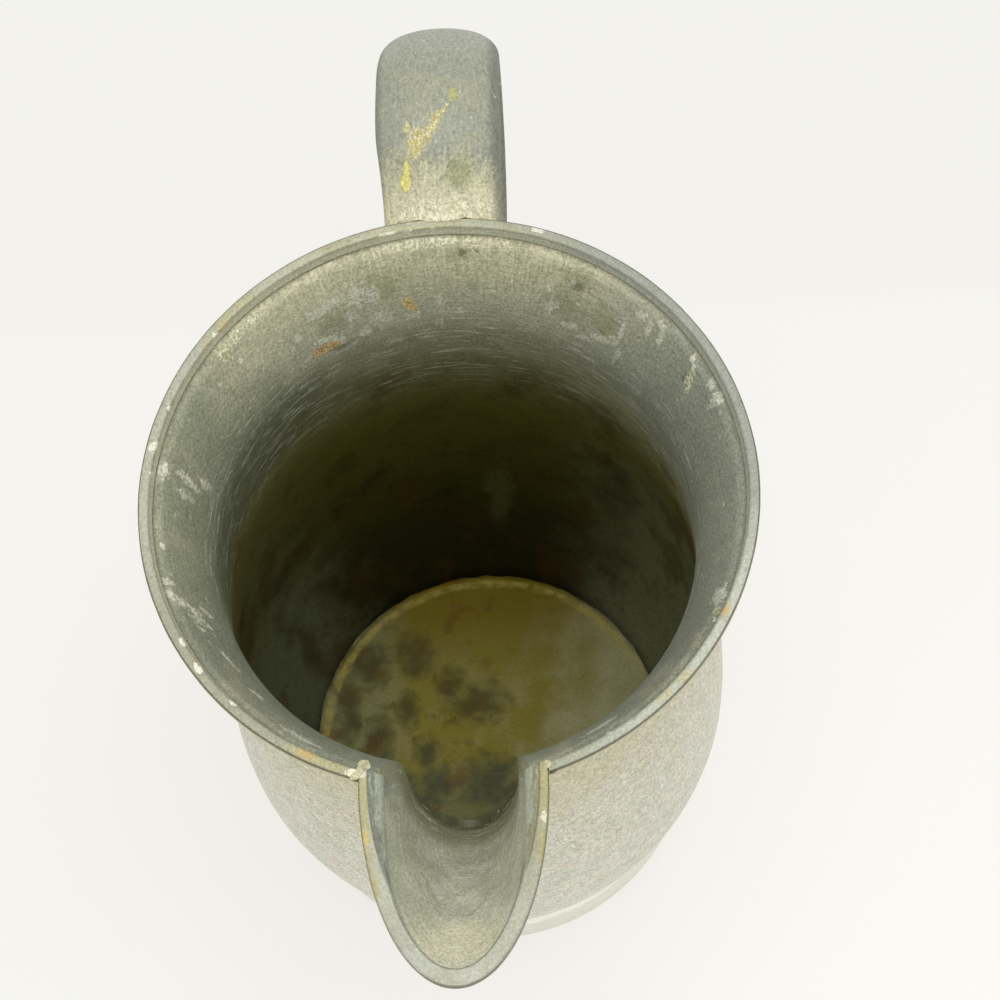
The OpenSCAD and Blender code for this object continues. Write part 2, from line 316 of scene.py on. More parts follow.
def grab(test):
    """In edit mode, select only the vertices whose place in millimetres passes a test. Give their number."""
    mesh = bmesh.from_edit_mesh(bpy.context.object.data)
    return pick(mesh, [v for v in mesh.verts if test(v.co / MM)])


# %% Cut the notch
bpy.ops.object.select_all(action="DESELECT")
bpy.ops.mesh.primitive_circle_add(vertices=144, radius=NOTCH_W / 2 * MM, rotation=(pi / 2, 0, 0))
cutter = bpy.context.object
cutter.name = "notch cutter"
bpy.ops.object.transform_apply(rotation=True)
edit(cutter)
take_all()
bpy.ops.transform.resize(value=(1, 1, (NOTCH_SIDE_H - NOTCH_H) / (NOTCH_W / 2)))
bpy.ops.transform.translate(value=(0, CUT_START * MM, NOTCH_SIDE_H * MM))
print("cut away above the sides:", grab(lambda p: p.z > NOTCH_SIDE_H + 0.01), "vertices")
bpy.ops.mesh.delete(type="VERT")
SIDE_STEPS = 16
for step in range(SIDE_STEPS):
    low, high = (lerp(NOTCH_SIDE_H, POT_H + 1, (step + k) / SIDE_STEPS) for k in (0, 1))
    grab(lambda p: abs(p.z - low) < 0.01 and abs(p.x) > NOTCH_W / 2 - 0.1)
    bpy.ops.mesh.extrude_vertices_move(TRANSFORM_OT_translate={"value": (0, 0, (high - low) * MM)})
    bpy.ops.transform.resize(value=(notch_half_w(high) / notch_half_w(low), 1, 1), center_override=(0, 0, 0))
grab(lambda p: True)
bpy.ops.mesh.edge_face_add()
bpy.ops.mesh.extrude_region_move(TRANSFORM_OT_translate={"value": (0, CUT_RUN * MM, 0)})
close_up()
measure(cutter)


# %% [markdown]
# The cut leaves a sharp edge as thick as the wall. On the pitcher it was filed and smeared with
# solder, so it rolls over softly from the neck into the spout. A bevel on just those edges does
# this. They are found by their place and by the angle between their faces.

# %% Cut and round the notch's edge
def cut(piece, tool, keep_tool=False):
    """Take a closed tool out of a piece."""
    apply(piece, "BOOLEAN", object=tool, operation="DIFFERENCE", solver="EXACT")
    if not keep_tool:
        bpy.data.objects.remove(tool)


def grab_sharp(test, angle=50):
    """In edit mode, select the sharp edges whose middle in millimetres passes a test. Give their number."""
    mesh = bmesh.from_edit_mesh(bpy.context.object.data)
    return pick(mesh, [
        e for e in mesh.edges
        if len(e.link_faces) == 2 and e.calc_face_angle(0) > radians(angle)
        and test((e.verts[0].co + e.verts[1].co) / 2 / MM)
    ])


cut(neck, cutter)
edit(neck)
bpy.ops.mesh.select_mode(type="EDGE")
take_all()
bpy.ops.mesh.remove_doubles(threshold=0.02 * MM)


def by_notch(place):
    """True beside the notch, below the rim."""
    beside = place.y < -30 and abs(place.x) < NOTCH_TOP_W / 2 + 0.5
    return beside and NOTCH_H - 2 < place.z < NECK_TOP_H - 0.2


def inside_wall(place):
    """True nearer to the wall's inner face than to its outer one."""
    return hypot(place.x, place.y) < body_r(place.z) - WALL / 2


print("inner notch edges:", grab_sharp(lambda p: by_notch(p) and inside_wall(p)))
bpy.ops.mesh.bevel(offset=0.9 * MM, segments=4, affect="EDGES", clamp_overlap=True)
leave()
wave(neck, 0.16, 14)
smooth(neck)
stand_for(neck, "body", "neck_shell")

# %% [markdown]
# ## The belly, the floor and the foot
#
# The lower body is a second turned shell, which laps inside the first. A tiny chamfer on both edges
# leaves the fine line that a soldered and filed lap shows. The floor is a disc let into the lower
# end. Solder ran into the corner round it, so its profile turns up at the edge, and a finer wave on
# that edge alone makes it ragged. The foot is a casting: a heavy ring with a cove above it.

# %% Belly shell
belly_profile = (
    wall_line(LEDGE_H, BELLY_H - EDGE, 0, 40)
    + [(body_r(BELLY_H) - EDGE, BELLY_H)]
    + [(body_r(h) - WALL / 2 - FILM, h) for h in (BELLY_H, BELLY_H + 1.5, BELLY_H + LAP_H - FILM)]
    + wall_line(BELLY_H + LAP_H - FILM, LEDGE_H, WALL, 36)
)
belly = turn("belly", belly_profile)
wave(belly, 0.16, 14)
smooth(belly)
stand_for(belly, "body", "belly_shell")

# %% Floor plate
FLOOR_R = BASE_R - WALL - FILM
FLOOR_TOP = LEDGE_H + FLOOR_T
SOLDER_RUN = 1.6

FLOOR_STEPS = 40
floor_profile = [(0.01, LEDGE_H), (FLOOR_R, LEDGE_H), (FLOOR_R, FLOOR_TOP)]
floor_profile += [
    (FLOOR_R - SOLDER_RUN * (1 - cos(radians(a))), FLOOR_TOP + 0.9 * (1 - sin(radians(a))))
    for a in range(10, 100, 16)
]
floor_profile += [
    (lerp(FLOOR_R - SOLDER_RUN, 0.01, i / FLOOR_STEPS), FLOOR_TOP) for i in range(1, FLOOR_STEPS + 1)
]
floor_disc = turn("floor_disc", floor_profile)
edge_group = floor_disc.vertex_groups.new(name="solder run")
raised = [
    v.index for v in floor_disc.data.vertices
    if hypot(v.co.x, v.co.y) > (FLOOR_R - 2.4) * MM and v.co.z > (FLOOR_TOP - 0.01) * MM
]
edge_group.add(raised, 1.0, "REPLACE")
wave(floor_disc, 0.25, 16)
wave(floor_disc, 1.1, 3.2, "solder run")
smooth(floor_disc, 60)
stand_for(floor_disc, "floor", "floor_plate")

# %% Foot ring
FOOT_R, FOOT_H, STAND_W = 45.9, 6.5, 5
FOOT_TOP_R = FOOT_R - 0.9
COLLAR_H, COLLAR_T = 10, 0.6
COLLAR_R = body_r(COLLAR_H) + FILM + COLLAR_T

foot_profile = [(FOOT_R - STAND_W, 0), (FOOT_R - 0.45, 0), (FOOT_R - 0.12, 0.12), (FOOT_R, 0.45)]
foot_profile += [(lerp(FOOT_R, FOOT_TOP_R, s), lerp(0.45, FOOT_H - 0.3, s)) for s in (0.25, 0.5, 0.75, 1)]
foot_profile += [(FOOT_TOP_R - 0.12, FOOT_H - 0.08)]
foot_profile += [
    (
        FOOT_TOP_R - 0.3 - (FOOT_TOP_R - 0.3 - COLLAR_R) * sin(radians(a)),
        COLLAR_H - (COLLAR_H - FOOT_H) * cos(radians(a))
    )
    for a in range(0, 91, 9)
]
foot_profile += [(COLLAR_R - 0.25, COLLAR_H + 0.12)]
foot_profile += wall_line(COLLAR_H, LEDGE_H, -FILM, 8)
foot_profile += [(BASE_R - WALL - 3, LEDGE_H)]
foot = turn("foot", foot_profile)
wave(foot, 0.14, 10)
smooth(foot, 50)
stand_for(foot, "foot", "foot_ring")

# %% [markdown]
# ## The rim band
#
# A flat strip of pewter was bent to a ring and soldered on the neck's top edge, with its ends left
# apart for the spout. It is turned as a full ring, with a crisp outer corner and an inner one that
# years of washing wore round. Then it is bisected beside the spout, the stretch between the two cuts
# is deleted, and the open ends are filled.

# %% Rim band
SPOUT_W, LIP_W = 31.4, 3
BAND_SOFT = 0.3


def soft_corner(r, h, start_angle):
    """Four points round the rounded corner of a band's section."""
    angles = [radians(start_angle + a) for a in (0, 30, 60, 90)]
    return [(r + BAND_SOFT * cos(a), h + BAND_SOFT * sin(a)) for a in angles]


low, high = NECK_TOP_H + BAND_SOFT, POT_H - BAND_SOFT
inner, outer = RIM_INNER_R + BAND_SOFT, RIM_R - BAND_SOFT
rim_profile = (
    soft_corner(outer, low, 270) + soft_corner(outer, high, 0)
    + [(lerp(inner, outer, 0.5), POT_H)]
    + [
        (RIM_INNER_R + 0.8 - 0.55 * sin(radians(a)), POT_H - 0.6 + 0.6 * cos(radians(a)))
        for a in range(0, 91, 15)
    ]
    + [(RIM_INNER_R, NECK_TOP_H)]
)
rim = turn("rim", rim_profile)
edit(rim)
END_X = SPOUT_W / 2 + FILM
for side in (-1, 1):
    grab(lambda p: p.y < -20)
    bpy.ops.mesh.bisect(plane_co=(side * END_X * MM, 0, 0), plane_no=(1, 0, 0))
print("between the cuts:", grab(lambda p: p.y < -20 and abs(p.x) < END_X - 0.005), "vertices")
bpy.ops.mesh.delete(type="VERT")
fill_ends()
wave(rim, 0.12, 9)
smooth(rim, 35)
stand_for(rim, "bands", "rim_band")

# %% [markdown]
# ## The spout
#
# The spout is a sheet bent to a pointed trough and soldered over the notch. Its two edges are known:
# the notch's outline on the neck, and half an ellipse at the rim. Lines drawn across it between
# those two, and bridged one to the next, give the sheet's inner face. The lines bow in a little at
# the keel, as hammered sheet does. Solidify then gives the sheet its thickness on the outside, the
# body's own shape is cut out of it so that it fits against the neck, and its two upper corners are
# trimmed flat under the bands.

# %% Sizes of the spout
SPOUT_REACH, SPOUT_RISE = RIM_R + 32.5, 2.5
LIP_STEP, SHEET_T, KEEL_CURVE = 0.4, 1.6, 2.5
SIDE_SHARE = 0.47
LIP_ROOT_Y = sqrt(RIM_R ** 2 - (SPOUT_W / 2) ** 2)
LIP_INNER = SPOUT_W / 2 - LIP_W
LIP_REACH = SPOUT_REACH - LIP_ROOT_Y - LIP_W
KEEL_SLOPE = atan2(NECK_TOP_H - NOTCH_H, LIP_REACH)
FOLD_END = 0.5
FOLD_IN = 1.1


def notch_point(g):
    """A point on the notch's outline, (x, height), from its top at 0 to its lowest point at 1."""
    if g <= SIDE_SHARE:
        h = lerp(NECK_TOP_H, NOTCH_SIDE_H, g / SIDE_SHARE)
        return notch_half_w(h), h
    a = pi / 2 * (g - SIDE_SHARE) / (1 - SIDE_SHARE)
    return NOTCH_W / 2 * cos(a), NOTCH_SIDE_H - (NOTCH_SIDE_H - NOTCH_H) * sin(a)


def spout_root(g, grow=0.0, depth=-WALL / 2):
    """That point on the neck's wall, at a depth off its outer face, grown outwards from the notch."""
    x, h = notch_point(g)
    lean = max(0, (g - SIDE_SHARE) / (1 - SIDE_SHARE))
    x, h = x + grow * cos(pi / 2 * lean), h - grow * sin(pi / 2 * lean)
    return Vector((x, -sqrt((body_r(h) + depth) ** 2 - x ** 2), h))


def spout_edge(g, side, h):
    """A point of the spout's edge at a distance from the band's inner line, and at a height."""
    x = (LIP_INNER + side) * cos(pi / 2 * g)
    y = -LIP_ROOT_Y - (LIP_REACH + side) * sin(pi / 2 * g)
    return Vector((x, y, h + SPOUT_RISE * ease(g)))


def fold(g):
    """How much of the edge is folded down into the trough: all of it at the rim, none halfway to the tip."""
    return 1 - ease(min(1, max(0, g / FOLD_END)))


def sheet_point(g, u):
    """A point of the sheet's inner face, from its root at 0 to its edge at 1."""
    edge_in = LIP_STEP - (FOLD_IN + LIP_STEP - 0.1) * fold(g) * u ** 5
    bow = KEEL_CURVE * sin(pi * u) * g ** 2 * Vector((0, sin(KEEL_SLOPE), cos(KEEL_SLOPE)))
    return spout_root(g).lerp(spout_edge(g, edge_in, NECK_TOP_H - FILM), u) + bow


def both_sides(point_at, steps):
    """The points of a line from the right end round the spout to the left end, in metres."""
    line = []
    for i in range(-steps, steps + 1):
        point = point_at(1 - abs(i) / steps)
        line.append(Vector((point.x if i < 0 else -point.x, point.y, point.z)) * MM)
    return line


print("the spout reaches", SPOUT_REACH, "mm; its keel slopes", round(degrees(KEEL_SLOPE), 1), "degrees")

# %% Helper that bridges drawn lines
def loft(name, lines, ring=False):
    """Draw lines of equal length and bridge each to the next, and in a ring the last to the first."""
    piece = start(name, lines[0])
    for line in lines[1:]:
        bpy.ops.mesh.select_all(action="DESELECT")
        bpy.ops.mesh.primitive_plane_add(size=MM)
        draw(line)
    leave()
    count = len(lines[0])
    edit(piece)
    bpy.ops.mesh.select_mode(type="EDGE")
    pairs = [(a, a + 1) for a in range(len(lines) - 1)] + ([(len(lines) - 1, 0)] if ring else [])
    for a, b in pairs:
        mesh = bmesh.from_edit_mesh(piece.data)
        mesh.verts.ensure_lookup_table()
        pick(mesh, [e for e in mesh.edges if {v.index // count for v in e.verts} in ({a}, {b})])
        bpy.ops.mesh.bridge_edge_loops()
    return piece


# %% Body plug, the shape that fits a piece to the body
plug_profile = (
    [(0.01, LEDGE_H)]
    + [(r + FILM, h) for r, h in wall_line(LEDGE_H, BELLY_H, 0, 30)]
    + [(r + FILM, h) for r, h in wall_line(BELLY_H, THROAT_H, 0, 40)[1:]]
    + [(r + FILM, h) for r, h in wall_line(THROAT_H, NECK_TOP_H, 0, 16)[1:]]
)
slim_plug = turn("slim plug", plug_profile + [(NECK_TOP_R + FILM, POT_H), (0.01, POT_H)])
full_plug = turn(
    "full plug",
    plug_profile + [(RIM_R + FILM, NECK_TOP_H), (RIM_R + FILM, POT_H + FILM), (0.01, POT_H + FILM)]
)
measure(full_plug)

# %% Spout sheet
SPOUT_STEPS = 40
RISE_STEPS = 12

spout = loft("spout", [
    both_sides(lambda g: sheet_point(g, k / RISE_STEPS), SPOUT_STEPS) for k in range(RISE_STEPS + 1)
])
bpy.ops.mesh.select_mode(type="VERT")
take_all()
bpy.ops.mesh.normals_make_consistent(inside=False)
mesh = bmesh.from_edit_mesh(spout.data)
keel_face = min(mesh.faces, key=lambda f: (f.calc_center_median() / MM - sheet_point(1, 0.5)).length)
if keel_face.normal.z < 0:
    bpy.ops.mesh.flip_normals()
leave()
apply(spout, "SOLIDIFY", thickness=SHEET_T * MM, offset=-1)
measure(spout)
cut(spout, slim_plug)
bpy.ops.object.select_all(action="DESELECT")
bpy.ops.mesh.primitive_cube_add(size=MM)
trim = bpy.context.object
bpy.ops.object.mode_set(mode="EDIT")
take_all()
TRIM_SIZE = Vector((40, 20, 4))
bpy.ops.transform.resize(value=TRIM_SIZE)
bpy.ops.transform.translate(value=(0, -48 * MM, (NECK_TOP_H - FILM + TRIM_SIZE.z / 2) * MM))
leave()
cut(spout, trim)
wave(spout, 0.12, 9)
smooth(spout, 40)
stand_for(spout, "spout", "spout_shell")

# %% [markdown]
# A flat strip runs along the spout's edge as the rim band does round the mouth. Towards the rim its
# inner half is folded down into the trough. Its section is ten points, so ten lines are drawn along
# the spout and bridged to a closed tube, and its two ends are filled. Each point has two places: one
# for the flat section near the tip and one for the folded section at the rim. The ends run back to
# the mouth's inner circle, where they butt against the rim band.

# %% Spout band
BAND_SECTION = [
    ((0, 0.35), (-1.15, -0.5)), ((0, 1.65), (-1.05, -0.05)), ((0.3, 2), (-0.45, 0.75)),
    ((1.4, 2), (0.75, 1.55)), ((1.75, 2), (1.5, 1.95)), ((2.7, 2), (2.7, 2)), ((3, 1.7), (3, 1.7)),
    ((3, 0.3), (3, 0.3)), ((2.7, 0), (2.7, 0)), ((0.35, 0), (-0.7, -0.85))
]


def band_line(flat, folded):
    """One line along the spout band, in metres. It goes from its folded place at the rim to its flat one."""
    def at(g):
        side, rise = (lerp(a, b, fold(g)) for a, b in zip(flat, folded))
        return spout_edge(g, side, NECK_TOP_H + rise)

    line = both_sides(at, SPOUT_STEPS + 8)
    ends = []
    for tip in (line[0], line[-1]):
        y = -sqrt((RIM_INNER_R * MM) ** 2 - tip.x ** 2)
        ends.append([Vector((tip.x, lerp(tip.y, y, s), tip.z)) for s in (0.5, 1)])
    return ends[0][::-1] + line + ends[1]


spout_rim = loft("spout_rim", [band_line(*corner) for corner in BAND_SECTION], ring=True)
bpy.ops.mesh.select_mode(type="VERT")
fill_ends()
apply(spout_rim, "BEVEL", width=0.14 * MM, segments=2, limit_method="ANGLE", angle_limit=radians(40))
wave(spout_rim, 0.12, 9)
smooth(spout_rim, 35)
stand_for(spout_rim, "bands", "spout_band")

# %% [markdown]
# ## The handle
#
# The strap handle is hollow: a domed outer half and a flatter inner half, soldered along both
# sides. In the plane of the spout it follows three joined curves, from the rim over the crest and
# round to the belly. A section is drawn once. Then it is extruded from station to station, turned
# with the path and scaled to the strap's width, as by hand. A curve with a bevel could not do it,
# because the strap changes its width and not its height.

# %% The handle's path
HANDLE_WIDTHS = [21.8, 23.2, 22.6, 17]
DOME_H, BACK_H, HANDLE_T = 6, 2.2, 1.4
DOME_POWER, BACK_POWER = 2.2, 3.2
HANDLE_STEPS = [16, 26, 34]
SECTION_STEPS = 40
HANDLE_RUN = 2 * (DOME_H + BACK_H)


def plane(y, z):
    """A point of the plane X = 0, in millimetres."""
    return Vector((0, y, z))


def leaning(angle):
    """The direction in that plane that leans up by an angle."""
    return plane(cos(radians(angle)), sin(radians(angle)))


root = plane(RIM_R - 0.8, POT_H)
crest = plane(RIM_R + 18, POT_H + 11)
outermost = plane(RIM_R + 47, POT_H - 15)
landing = plane(BELLY_R - WALL, 46)
crest_run = crest.y - root.y
drop_run = outermost.z - landing.z
handle_path = [
    [root, root + leaning(35) * 0.42 * crest_run, crest - plane(0.58 * crest_run, 0), crest],
    [crest, crest + plane(0.55 * (outermost.y - crest.y), 0),
     outermost + plane(0, 0.55 * (crest.z - outermost.z)), outermost],
    [outermost, outermost - plane(0, 0.47 * drop_run),
     landing + leaning(25) * 0.5 * (outermost.y - landing.y), landing],
]


def bezier(p, s):
    """The point of a curve at a share of its run."""
    return (1 - s) ** 3 * p[0] + 3 * (1 - s) ** 2 * s * p[1] + 3 * (1 - s) * s ** 2 * p[2] + s ** 3 * p[3]


def bezier_dir(p, s):
    """The direction of a curve at a share of its run."""
    way = (1 - s) ** 2 * (p[1] - p[0]) + 2 * (1 - s) * s * (p[2] - p[1]) + s ** 2 * (p[3] - p[2])
    return way.normalized()


root_way, foot_way = bezier_dir(handle_path[0], 0), bezier_dir(handle_path[2], 1)
stations = [(HANDLE_WIDTHS[0], root - HANDLE_RUN * root_way, root_way)]
for part, curve in enumerate(handle_path):
    for i in range(0 if part == 0 else 1, HANDLE_STEPS[part] + 1):
        s = i / HANDLE_STEPS[part]
        width = lerp(HANDLE_WIDTHS[part], HANDLE_WIDTHS[part + 1], ease(s))
        stations.append((width, bezier(curve, s), bezier_dir(curve, s)))
stations.append((HANDLE_WIDTHS[3], landing + HANDLE_RUN * foot_way, foot_way))
run = [0.0]
for a, b in zip(stations, stations[1:]):
    run.append(run[-1] + (b[1] - a[1]).length)
print("the handle has", len(stations), "stations over", round(run[-1]), "mm")

# %% Sweep a section along the path
def half_section(width, height, power):
    """Half of the strap's section, as (across, off the seam). A power of 2 gives an ellipse."""
    points = []
    for i in range(SECTION_STEPS + 1):
        a = pi * i / SECTION_STEPS
        across = width / 2 * (1 if cos(a) > 0 else -1) * abs(cos(a)) ** (2 / power)
        points.append((across, height * sin(a) ** (2 / power)))
    return points


def place(across, off_seam, at, way):
    """A point of the section set square to the path."""
    depth = DOME_H - off_seam
    return Vector((across, at.y + depth * way.z, at.z - depth * way.y))


def sweep(name, height, power):
    """One hollow half of the handle, extruded from station to station."""
    hollow = height - (HANDLE_T if height > 0 else -HANDLE_T)
    width, at, way = stations[0]
    ring = half_section(width, height, power) + half_section(width - 2 * HANDLE_T, hollow, power)[::-1]
    line = [place(x, d, at, way) * MM for x, d in ring]
    piece = start(name, line + line[:1])
    take_all()
    bpy.ops.mesh.remove_doubles(threshold=MERGE)
    for (old_w, old_at, old_way), (new_w, new_at, new_way) in zip(stations, stations[1:]):
        bpy.ops.mesh.extrude_edges_move(TRANSFORM_OT_translate={"value": (new_at - old_at) * MM})
        swing = atan2(new_way.z, new_way.y) - atan2(old_way.z, old_way.y)
        swing = (swing + pi) % tau - pi
        if abs(swing) > 1e-7:
            bpy.ops.transform.rotate(value=-swing, orient_axis="X", center_override=new_at * MM)
        bpy.ops.transform.resize(value=(new_w / old_w, 1, 1), center_override=new_at * MM)
    last = bmesh.from_edit_mesh(piece.data)
    found = [v.co / MM for v in last.verts if v.select]
    wanted = [place(x, d, *stations[-1][1:]) for x, d in half_section(stations[-1][0], height, power)]
    error = max(min((f - w).length for f in found) for w in wanted)
    print(name, "ends within", round(error, 3), "mm of its last station")
    fill_ends()
    return piece


handle_face = sweep("handle_face", DOME_H, DOME_POWER)
handle_back = sweep("handle_back", -BACK_H, BACK_POWER)


# %% [markdown]
# The metal's grain runs along the strap, so both halves get a UV map that unrolls it: across it and
# along it, in metres. It is laid from the stations before the ends are cut to fit the body.

# %% Unroll the strap
def lay_along(piece):
    """Write a UV map of the width across the strap and the length along it."""
    layer = piece.data.uv_layers.new(name="along")
    lengths = []
    for v in piece.data.vertices:
        co = v.co / MM
        spot = min(
            range(len(stations) - 1),
            key=lambda i: (stations[i][1] - co).length + (stations[i + 1][1] - co).length
        )
        _, at, way = stations[spot]
        lengths.append(run[spot] + min(max((co - at).dot(way), 0), run[spot + 1] - run[spot]))
    for loop in piece.data.loops:
        co = piece.data.vertices[loop.vertex_index].co
        layer.data[loop.index].uv = (co.x, lengths[loop.vertex_index] * MM)


for half, node in ((handle_face, "handle_outer"), (handle_back, "handle_inner")):
    lay_along(half)
    cut(half, full_plug, keep_tool=True)
    apply(half, "BEVEL", width=0.12 * MM, segments=2, limit_method="ANGLE", angle_limit=radians(60))
    wave(half, 0.22, 12)
    smooth(half, 35)
    stand_for(half, "handle", node)
bpy.data.objects.remove(full_plug)

# %% [markdown]
# ## Solder
#
# Soft solder was run along the spout's root and round both ends of the handle. It is a bead that
# swells and shrinks as the iron moved. A line is drawn on the body along the joint, turned into a
# curve with a round bevel, given an uneven radius at each point, and turned back into a mesh.

# %% Solder beads
chance = random.Random(5)


def bead(name, points, radius, slot_node, closed=False):
    """An uneven bead of solder along points in millimetres."""
    line = [p * MM for p in points]
    piece = start(name, line + (line[:1] if closed else []))
    take_all()
    bpy.ops.mesh.remove_doubles(threshold=MERGE)
    leave()
    bpy.ops.object.convert(target="CURVE")
    swell = 1.0
    ends = len(points) - 1
    for i, point in enumerate(piece.data.splines[0].points):
        swell = lerp(swell, chance.uniform(0.75, 1.25), 0.35)
        taper = 1 if closed else min(1, 0.35 + 0.25 * min(i, ends - i))
        point.radius = swell * taper
    piece.data.bevel_depth = radius * MM
    piece.data.bevel_resolution = 4
    piece.data.use_fill_caps = True
    bpy.ops.object.convert(target="MESH")
    edit(piece)
    close_up()
    wave(piece, 0.35, 1.6)
    smooth(piece, 70)
    stand_for(piece, "solder", slot_node)
    return piece


BEAD_STEPS = 60
spout_line = both_sides(lambda g: spout_root(lerp(0.1, 1, g), SHEET_T + 0.35, 0.15), BEAD_STEPS)
spout_bead = bead("spout_bead", [p / MM for p in spout_line], 0.75, "spout_solder")


# %% Solder round the handle's ends
def meets_body(across, off_seam, at, way, reach):
    """Where the strap's outline, followed along its path by a reach, comes out of the body."""
    low, high = 0.0, reach
    for _ in range(40):
        middle = (low + high) / 2
        p = place(across, off_seam, at + way * middle, way)
        inside = hypot(p.x, p.y) < body_r(min(p.z, NECK_TOP_H))
        low, high = (middle, high) if inside else (low, middle)
    return place(across, off_seam, at + way * high, way)


def outline(width, skin):
    """The strap's whole outline, grown by a skin, as (across, off the seam)."""
    dome = half_section(width + 2 * skin, DOME_H + skin, DOME_POWER)
    back = half_section(width + 2 * skin, -BACK_H - skin, BACK_POWER)
    return dome[::2] + back[::-2][1:-1]


def under_rim(p):
    """True where the joint isn't hidden by the rim band."""
    return p.z <= NECK_TOP_H - 0.6


def onto_body(p, off):
    """The same point, moved out or in to lie a little off the body's face."""
    r = (body_r(min(p.z, NECK_TOP_H)) + off) / hypot(p.x, p.y)
    return Vector((p.x * r, p.y * r, p.z))


foot_points = [
    onto_body(meets_body(x, d, landing + foot_way * 8, foot_way, -20), 0.2)
    for x, d in outline(HANDLE_WIDTHS[3], 0.3)
]
foot_bead = bead("handle_foot_bead", foot_points, 0.8, "handle_foot_solder", closed=True)

root_points = [
    onto_body(meets_body(x, d, root - root_way * 14, root_way, 24), 0.2)
    for x, d in outline(HANDLE_WIDTHS[0], 0.3)
]
lowest = min(range(len(root_points)), key=lambda i: root_points[i].z)
root_points = root_points[lowest:] + root_points[:lowest]
right_run = list(takewhile(under_rim, root_points[1:]))
left_run = list(takewhile(under_rim, root_points[::-1]))
root_line = left_run[::-1] + root_points[:1] + right_run
root_bead = bead("handle_root_bead", root_line, 0.8, "handle_top_solder")
print("root solder from", [round(v, 1) for v in root_points[0]], "over", len(root_line), "points")

# %% [markdown]
# The bands meet at the spout in two butt joints. Some solder was left standing on them, most of it at
# the left one. Each smear is a small ball, squashed, leaned and displaced by coarse and fine clouds
# until it is no ball any more.

# %% Solder smears at the joints
LUMPS = [
    ((-14.6, -49.1, 150.95), (1.1, 0.85, 0.2), 20), ((-16.1, -50.9, 150.95), (1.0, 0.7, 0.2), -30),
    ((-15.4, -50.1, 150.95), (0.6, 0.8, 0.16), 0), ((15.5, -50.2, 150.92), (0.9, 0.7, 0.14), 15),
]

bpy.ops.object.select_all(action="DESELECT")
for i, (centre, size, turned_by) in enumerate(LUMPS):
    bpy.ops.mesh.primitive_ico_sphere_add(subdivisions=5, radius=MM)
    ball = bpy.context.object
    bpy.ops.object.mode_set(mode="EDIT")
    take_all()
    bpy.ops.transform.resize(value=size)
    bpy.ops.transform.rotate(value=radians(turned_by), orient_axis="Z", center_override=(0, 0, 0))
    bpy.ops.transform.translate(value=Vector(centre) * MM)
    leave()
    if i == 0:
        lumps = ball
        lumps.name = lumps.data.name = "joint_smears"
    else:
        lumps.select_set(True)
        bpy.context.view_layer.objects.active = lumps
        bpy.ops.object.join()
wave(lumps, 0.6, 1.3)
wave(lumps, 0.16, 0.5)
smooth(lumps, 70)
stand_for(lumps, "solder")

# %% [markdown]
# ## Writing a finish as sums
#
# A finish is a tree of nodes. Its maths reads better as sums, so one small class wraps an output
# socket, and arithmetic on it adds Math nodes. Every other node comes from one method, which takes
# the node's type, its settings and the values or links of its sockets.

# %% A wire between nodes
class Wire:
    """An output socket of a finish. Arithmetic on it adds Math nodes."""

    def __init__(self, tree, socket=None):
        self.tree = tree
        self.socket = socket

    def node(self, kind, settings=None, values=None, out=0):
        """Add a node: settings first, then its sockets' values or wires. Give the wire of one output."""
        made = self.tree.nodes.new("ShaderNode" + kind)
        for name, value in (settings or {}).items():
            if name == "stops":
                stops = made.color_ramp.elements
                stops.remove(stops[1])
                stops[0].position, stops[0].color = value[0]
                for position, colour in value[1:]:
                    stops.new(position).color = colour
            else:
                setattr(made, name, value)
        for name, value in (values or {}).items():
            if isinstance(value, Wire):
                self.tree.links.new(value.socket, made.inputs[name])
            else:
                made.inputs[name].default_value = value
        return Wire(self.tree, made.outputs[out] if len(made.outputs) else None)

    def output(self, name):
        """Another output of the node that this wire comes from."""
        return Wire(self.tree, self.socket.node.outputs[name])

    def math(self, operation, *values):
        """A Math node on two or more values."""
        return self.node("Math", {"operation": operation}, dict(enumerate(values)))

    def __add__(self, other):
        return self.math("ADD", self, other)

    def __sub__(self, other):
        return self.math("SUBTRACT", self, other)

    def __rsub__(self, other):
        return self.math("SUBTRACT", other, self)

    def __mul__(self, other):
        return self.math("MULTIPLY", self, other)

    def __truediv__(self, other):
        return self.math("DIVIDE", self, other)

    def __pow__(self, other):
        return self.math("POWER", self, other)

    __radd__ = __add__
    __rmul__ = __mul__


# %% [markdown]
# ## Words for colours and patterns
#
# These helpers are the painter's tools. A colour is given by its usual numbers, and a glaze lays one
# colour over another where a mask is 1.

# %% Colours
def paint(red, green, blue):
    """A colour by its numbers from 0 to 255, in Blender's linear values."""
    parts = [c / 255 for c in (red, green, blue)]
    return tuple(c / 12.92 if c <= 0.04045 else ((c + 0.055) / 1.055) ** 2.4 for c in parts) + (1,)


def glaze(under, over, mask):
    """One colour laid over another where the mask is 1. A plain colour is given by its three numbers."""
    under, over = (paint(*part) if isinstance(part, tuple) else part for part in (under, over))
    return mask.node("Mix", {"data_type": "RGBA"}, {0: mask, 6: under, 7: over}, out=2)


def shade(colour, by):
    """A colour made lighter or darker by a factor."""
    return by.node("VectorMath", {"operation": "SCALE"}, {0: colour, "Scale": by})


print("a middle grey in linear values:", [round(v, 3) for v in paint(128, 128, 128)])

# %% [markdown]
# Object coordinates are used in millimetres all over, so a pattern's size is its size on the
# pitcher. A pattern that runs round the axis would grow with the distance from it. So it lies in
# coordinates that are drawn in to one radius first.

# %% Coordinates
def spot_of(w):
    """Object coordinates in millimetres."""
    place = w.node("TexCoord", out="Object")
    return w.node("VectorMath", {"operation": "SCALE"}, {0: place, "Scale": 1 / MM})


